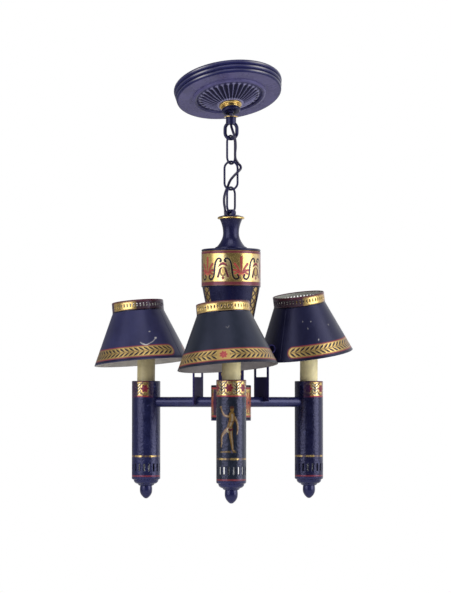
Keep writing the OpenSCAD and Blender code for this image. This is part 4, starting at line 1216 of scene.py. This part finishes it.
@dataclass
class Shade(OfThree):
    """One clip-on cone shade with a laurel band and a pierced gilt gallery."""

    base_r: float = 64.0
    top_r: float = 34.5
    height: float = 68.0
    gallery_h: float = 14.0
    wall: float = 1.0
    drop: float = 34.0
    columns: int = 600
    dense_to: float = 23.0
    dense_rows: int = 55
    plain_rows: int = 44
    inner_rows: int = 8
    seam_rows: int = 30
    seam_across: tuple = (-2.4, -2.2, 2.2, 2.4)
    seam_lift: tuple = (0.05, 0.35, 0.35, 0.05)
    band_r: float = 60.0
    band_mid: float = 12.6
    band_half: float = 7.6
    band_gap: float = 13.0
    leaf_step: float = 6.8
    holes: int = 48
    hole_w: float = 1.45
    hole_h: float = 2.3
    rim_columns: int = 256
    bulb_rise: float = 20.0
    spider_r: float = 6.0
    spider_columns: int = 48
    wire_r: float = 1.0
    wire_z: float = 34.5
    wire_columns: int = 20
    shift: tuple = (7.0, 8.5, 8.0)
    tilt_x: tuple = (-4.3, 8.0, -2.7)
    tilt_y: tuple = (-4.2, -7.0, -4.6)
    # The left shade's ground is painted lighter as lit; the right one's is painted darker as shaded.
    grounds: tuple = (Pigment.GREEN_BLACK, Pigment.SHADED_INK, Pigment.LIT_SLATE)
    # Inside greys: the front and right are painted darker as shaded, the left lighter as lit.
    insides: tuple = (Pigment.SHADED_INSIDE_GREY, Pigment.SHADED_INSIDE_GREY, Pigment.LIT_INSIDE_GREY)
    flower_at: tuple = (-4.0, 19.0, -4.0)
    bright_at: tuple = (0.0, 281.0, 83.0)
    bright_half: tuple = (74.0, 33.0, 26.0)
    chip_r: float = 50.0
    chip_at: tuple = (0.0, 236.0, 116.0)
    chip_strength: tuple = (0.25, 0.55, 0.85)
    chips: tuple = (
        (([(1, 52.2), (4, 50.4), (6.4, 52.6)], (0.2, 0.45, 0.3)), ([(-55, 23.5), (-54, 25)], (0.6, 0.8, 0.5))),
        (([(17.8, 27.2), (16.8, 25.2)], (0.4, 0.8, 0.4)), ([(40.5, 44), (41.6, 43.6)], (0.5, 0.8, 0.5)),
         ([(0, 54.5), (0.5, 53.4)], (0.3, 0.6, 0.3)), ([(12, 53), (13.4, 52.4)], (0.3, 0.7, 0.3)),
         ([(6, 44), (6.5, 43)], (0.3, 0.5, 0.3))),
        (([(1.3, 25.5), (3.5, 23.2), (6.9, 21.4), (9.5, 21.6)], (0.3, 0.9, 0.7)),
         ([(9.5, 21.8), (13, 23.6), (17, 26), (20.6, 29.6)], (0.5, 0.35, 0.3)),
         ([(20.4, 30.6), (22.6, 31)], (0.6, 1.1, 0.5)), ([(14, 41), (16, 40.4)], (0.3, 0.5, 0.3))))

    @property
    def body(self) -> str:
        """The CAD body that the shade's pieces ride on, which is also its node."""
        return f"shade_{self.name}"

    @property
    def place(self) -> Place:
        """The shade's leaning frame beside the bulb's widest height, its own X pointing outwards."""
        i = self.index
        rise = TUBE_TOP + SLEEVE_RISE + CANDLE_LIFT[i] + self.bulb_rise
        tilt = turn_y(self.tilt_y[i]) @ turn_x(self.tilt_x[i])
        return Place(tilt @ self.arm.turn, super().place.at + [0, 0, rise] + tilt @ [-self.shift[i], 0, 0])

    def build(self) -> None:
        """Lays the cone with its seam, the gallery, and the hub that holds it."""
        self.build_cone()
        self.build_seam()
        self.build_gallery()
        self.build_rims()
        self.build_spider()

    def laurel(self, angle: np.ndarray, v: np.ndarray) -> Brushwork:
        """Paints the cone: a gilt laurel band from a red rosette both ways round to rounded ends by the seam.

        Args:
            angle: angle of each vertex, in radians.
            v: its height.

        Returns:
            The paint.
        """
        u = folded(angle - math.radians(self.flower_at[self.index]), 2 * np.pi) * self.band_r
        art = Brushwork(u, v, self.grounds[self.index], 0.7)
        m = np.abs(u)
        end = np.pi * self.band_r - self.band_gap
        half, step = self.band_half, self.leaf_step
        band = np.hypot(np.maximum(m - end + half, 0), v - self.band_mid) - half
        art.fill(band - 0.9, Pigment.RED, 0.75)
        art.fill(band + 0.5, Pigment.OCHRE)
        art.fill(band + 0.6, Pigment.GOLD, 0.45)
        y = np.abs(v - self.band_mid)
        inside = np.where((m > 8.5) & (m < end - 3), 0.0, FAR_OFF)
        for shift in (-step, 0.0, step):
            t = (m - 8.0) % step + shift - step * 0.5
            art.petal(t, (-5.2, 6.3), (2.6, 0.5), 1.0, Pigment.GOLD, v=y, clear=inside)
            art.petal(t, (-3.4, 6.2), (4.6, 0.4), 1.2, Pigment.BLACK, v=y, clear=inside)
        art.fill(y - 0.3 + inside, Pigment.BROWN, 0.7)
        art.flower(u, (0.0, self.band_mid), 5.0, 7, Pigment.RED, Pigment.CORAL)
        art.fill(np.abs(v - 2.6) - 0.8, Pigment.BLACK)
        return art

    def wall_rows(self, share: np.ndarray) -> np.ndarray:
        """Rows of the cone's outer wall at shares of its height."""
        return pairs(self.base_r - (self.base_r - self.top_r) * share, -self.drop + self.height * share)

    def build_cone(self) -> None:
        """Lays the cone: a dense outer wall, a rolled lower edge and a plain grey inner wall; chips come last."""
        slant = math.hypot(self.base_r - self.top_r, self.height)
        v = np.concatenate([np.linspace(0.9, self.dense_to, self.dense_rows, endpoint=False),
                            np.linspace(self.dense_to, slant - 0.3, self.plain_rows)])
        r, low = self.base_r, -self.drop
        share = np.linspace(1.0, 0.0, self.inner_rows)
        inner = pairs(r - 1.1 - (r - self.top_r) * share, low + 0.4 + (self.height - 0.4) * share)
        outer = np.vstack([(r - 1.0, low), (r - 0.3, low), (r, low + 0.35), self.wall_rows(v / slant)])
        outline = np.vstack([outer, inner])
        heights = np.concatenate([[0.0, 0.0, 0.4], v, np.full(len(inner), 40.0)])
        angle, height = unrolled(heights, full_turn(self.columns))
        art = self.laurel(angle, height)
        # The inside takes its painted lit or shaded grey.
        art.cover_rows(len(outer), self.insides[self.index])
        u = (angle - math.radians(self.chip_at[self.index])) * self.chip_r
        for points, widths in self.chips[self.index]:
            art.stroke(u, points, widths, Pigment.PALE_FLECK, self.chip_strength[self.index])
        spun_piece(f"shade_cone_{self.name}", outline, self.columns, self.place, SHADE_STENCIL, self.body,
                   (), art)

    def build_seam(self) -> None:
        """Lays the lapped seam opposite the rosette: a strip a little off the cone, with its sides turned down."""
        rows = self.wall_rows(np.linspace(0.03, 0.985, self.seam_rows))
        r = rows[:, :1]
        turn = np.pi + math.radians(self.flower_at[self.index]) + np.array(self.seam_across) / r
        out = r + np.array(self.seam_lift)
        seam = np.stack([out * np.cos(turn), out * np.sin(turn), np.broadcast_to(rows[:, 1:], out.shape)], axis=-1)
        lay_piece(f"shade_seam_{self.name}", self.place.put(seam), ring_quads(*out.shape, False, False), SHADE_STENCIL,
                  self.body, (), Brushwork(turn, out, self.grounds[self.index]))

    def build_gallery(self) -> None:
        """Lays the gallery: each of its cells is a grid between a crescent hole and the cell's border."""
        around, rings = 32, 5
        side = around // 4
        pitch = 2 * np.pi * self.top_r / self.holes
        low, high = 1.3, self.gallery_h - 1.2
        t = np.linspace(0.0, 1.0, around // 2 + 1)
        a = np.radians(-90 + 180 * t)
        right = pairs(self.hole_w * np.cos(a), self.hole_h * np.sin(a))
        left = pairs(0.1 * np.cos(a) - 0.6 * np.sin(np.pi * t), self.hole_h * np.sin(a))[::-1]
        hole = np.vstack([right[:-1], left[:-1]]) + [-0.5, self.gallery_h / 2]
        s = np.linspace(-1.0, 1.0, side + 1)
        z = low + (high - low) * (s + 1) / 2
        edge = np.vstack([pairs(pitch / 2, z[:-1]), pairs(-s[:-1] * pitch / 2, high), pairs(-pitch / 2, z[:0:-1]),
                          pairs(s[:-1] * pitch / 2, low)])
        mix = (np.linspace(0.0, 1.0, rings) ** 1.3)[:, None, None]
        cell = hole * (1 - mix) + np.roll(edge, side // 2, axis=0) * mix
        k = np.arange(self.holes)[:, None, None]
        turn = (k + 0.5) * 2 * np.pi / self.holes + cell[..., 0] / self.top_r
        z = np.broadcast_to(cell[..., 1], turn.shape)
        points = np.stack([self.top_r * np.cos(turn), self.top_r * np.sin(turn), z - self.drop + self.height], axis=-1)
        quads = (ring_quads(rings, around, False)[:, ::-1] + k * rings * around).reshape(-1, 4)
        art = Brushwork(turn * self.top_r, z, Pigment.GOLD)
        # Painted shade over the gallery's leaf away from its lit side.
        art.shade_unlit_leaf(turn, self.bright_at[self.index], self.bright_half[self.index])
        art.stripe(11.0, 14.0, Pigment.DARK_RED, 0.75)
        art.stripe(1.0, 2.2, Pigment.DARK_RED, 0.6)
        piece = lay_piece(f"gallery_pierced_{self.name}", self.place.put(points), quads, STENCIL, self.body,
                          (), art, weld=True)
        thicken(piece, self.wall, PRIMER)

    def build_rims(self) -> None:
        """Lays the gallery's dark lower and red upper rim as spun outlines."""
        for label, ground, outline in (
                ("low", Pigment.BLACK,
                 soften([(33.5, -0.3), (34.5, -0.4), (34.6, 0.5), (34.5, 1.35), (33.5, 1.35)], 0.3)),
                ("rim", Pigment.DARK_RED,
                 soften([(33.4, 12.75), (34.45, 12.75), (34.5, 13.4), (34.2, 14.0), (33.5, 14.0), (33.3, 13.4)], 0.4))):
            art = Brushwork(*unrolled(outline[:, 1], full_turn(self.rim_columns)), ground)
            spun_piece(f"gallery_{label}_{self.name}", outline + [0, self.height - self.drop], self.rim_columns,
                       self.place, STENCIL, self.body, (), art)

    def build_spider(self) -> None:
        """Lays the brass hub as a spun ring and its three wires as rods spun about their own lines."""
        hub = soften([(2.05, 33.0), (self.spider_r, 33.0), (self.spider_r, 36.0), (2.05, 36.0)], 0.4)
        spun_piece(f"spider_hub_{self.name}", hub, self.spider_columns, self.place, BRASS, self.body,
                   (self.body,))
        rod = np.array([(0.0, 5.6), (self.wire_r, 5.6), (self.wire_r, 34.0), (0.0, 34.0)])
        for k in range(3):
            line = Place(self.place.turn @ turn_z(120.0 * k) @ turn_y(90),
                         self.place.at + self.place.turn @ [0, 0, self.wire_z])
            spun_piece(f"spider_wire_{k + 1}_{self.name}", rod, self.wire_columns, line, BRASS, self.body,
                       closed=False)


@dataclass
class Hardware:
    """CAD nodes that are shown as they are, each with its own finish."""

    lacquered: tuple = ("collar_loop", "chain_link_1", "chain_link_2", "chain_link_3", "hanging_eye", "hub_cap")
    zinc: tuple = ("crossbar", "nipple", "locknut", "centre_rod", "arm_nuts", *(f"socket_stem_{n}" for n in NAMES))
    brass: tuple = ("rod_nut", *(f"bulb_clip_{n}" for n in NAMES))
    phenolic: tuple = tuple(f"socket_{n}" for n in NAMES)
    glass: tuple = tuple(f"bulb_{n}" for n in NAMES)

    def dress(self) -> None:
        """Gives every shown CAD node its finish."""
        for nodes, finish in ((self.lacquered, LACQUER), (self.zinc, ZINC), (self.brass, BRASS),
                              (self.phenolic, PHENOLIC), (self.glass, FROSTED)):
            for name in nodes:
                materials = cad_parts[name].data.materials
                materials.clear()
                materials.append(finish.material())
                LOG.info("%s: %s", name, finish.name)


class Ray(Enum):
    """Kinds of ray that the world tells apart."""

    CAMERA = "Is Camera Ray"
    GLOSSY = "Is Glossy Ray"
    TRANSMISSION = "Is Transmission Ray"


@dataclass
class Studio:
    """White studio: a softbox on each side of the camera and one above, a pale floor, a camera level with the arms."""

    distance: float = 3500.0
    shift_left: float = 7.3
    pitch_up: float = 2.27
    lens: float = 161.5
    aim_z: float = -250.0
    floor_drop: float = 350.0
    floor_r: float = 1250.0
    ambient: float = 0.28
    dark: float = 0.07
    far: float = 1.0
    left_back: float = 0.34

    def build(self) -> None:
        """Makes the camera, the lamps, the world and the floor."""
        self.build_camera()
        self.softbox("softbox_left", -50, 14, 1700, 1370, 1500, 20)
        self.softbox("softbox_right", 66, 12, 1700, 1240, 1500, 21)
        self.softbox("softbox_over", -10, 68, 1900, 1100, 900, 12)
        self.build_world()
        self.build_floor()

    def build_camera(self) -> None:
        """Camera at the photograph's angle: level with the arms and tipped up a little."""
        data = bpy.data.cameras.new("camera")
        data.lens = self.lens
        camera = bpy.data.objects.new("camera", data)
        camera.location = (PIVOT + [-self.shift_left, -self.distance, ARM_Z]) * MM
        camera.rotation_euler = (math.radians(90 + self.pitch_up), 0, 0)
        bpy.context.scene.collection.objects.link(camera)
        bpy.context.scene.camera = camera

    def softbox(self, name: str, azimuth: float, height: float, away: float, wide: float, tall: float,
                power: float) -> None:
        """Hangs an area lamp that faces the middle of the body.

        Args:
            name: lamp name.
            azimuth: angle round the body from the camera's side, in degrees.
            height: angle above level, in degrees.
            away: distance.
            wide: its width.
            tall: its height.
            power: watts.
        """
        data = bpy.data.lights.new(name, "AREA")
        data.shape = "RECTANGLE"
        data.size, data.size_y, data.energy = wide * MM, tall * MM, power
        lamp = bpy.data.objects.new(name, data)
        turn = turn_z(azimuth) @ turn_x(90 - height)
        lamp.location = (PIVOT + [0, 0, self.aim_z] + turn @ [0, 0, away]) * MM
        lamp.rotation_euler = (math.radians(90 - height), 0, math.radians(azimuth))
        bpy.context.scene.collection.objects.link(lamp)

    def build_world(self) -> None:
        """White for the camera; for reflections white at the right back, dim at the left back and dark in front."""
        world = bpy.data.worlds.new("studio")
        bpy.context.scene.world = world
        world.use_nodes = True
        tree = world.node_tree
        path = add_node(tree, "LightPath").outputs
        way = add_node(tree, "TexCoord").outputs["Generated"]
        right, left = (add_node(tree, "VectorMath", {0: way, 1: side}, operation="DOT_PRODUCT").outputs["Value"]
                       for side in ((0.8, 0.6, 0.0), (-0.9, 0.44, 0.0)))
        mirrored = maths(tree, "MAXIMUM", ramp(tree, right, 0.2, 0.7, self.dark, self.far),
                         ramp(tree, left, 0.5, 0.95, to_high=self.left_back))
        level = add_node(tree, "Mix", {0: path[Ray.GLOSSY.value], 2: self.ambient, 3: mirrored}).outputs[0]
        direct = maths(tree, "MAXIMUM", path[Ray.CAMERA.value], path[Ray.TRANSMISSION.value])
        level = add_node(tree, "Mix", {0: direct, 2: level, 3: 1.0}).outputs[0]
        back = tree.nodes["Background"]
        back.inputs["Color"].default_value = (1, 1, 1, 1)
        tree.links.new(level, back.inputs["Strength"])

    def build_floor(self) -> None:
        """Pale round floor well under the lamp: rings of growing radius about its middle."""
        rings, columns = 6, 96
        rows = pairs(np.linspace(0.0, self.floor_r, rings)[::-1], ARM_Z - self.floor_drop)
        mesh = bpy.data.meshes.new("floor")
        points = plumb(0.0).put(spun(rows, full_turn(columns)))
        mesh.from_pydata((points * MM).tolist(), [], ring_quads(rings, columns, False).tolist())
        floor = bpy.data.objects.new("floor", mesh)
        bpy.context.scene.collection.objects.link(floor)
        mesh.materials.append(FLOOR.material())


def main() -> None:
    """Builds the chandelier's looks in order."""
    logging.basicConfig(level=logging.INFO, format="%(name)s: %(message)s")
    bpy.context.scene.view_settings.view_transform = "Standard"
    Studio().build()
    Canopy().build()
    Lead().build()
    Body().build()
    for index in range(len(NAMES)):
        Candle(index).build()
        Strap(index).build()
        Shade(index).build()
    Hardware().dress()


if __name__ == "__main__":
    main()
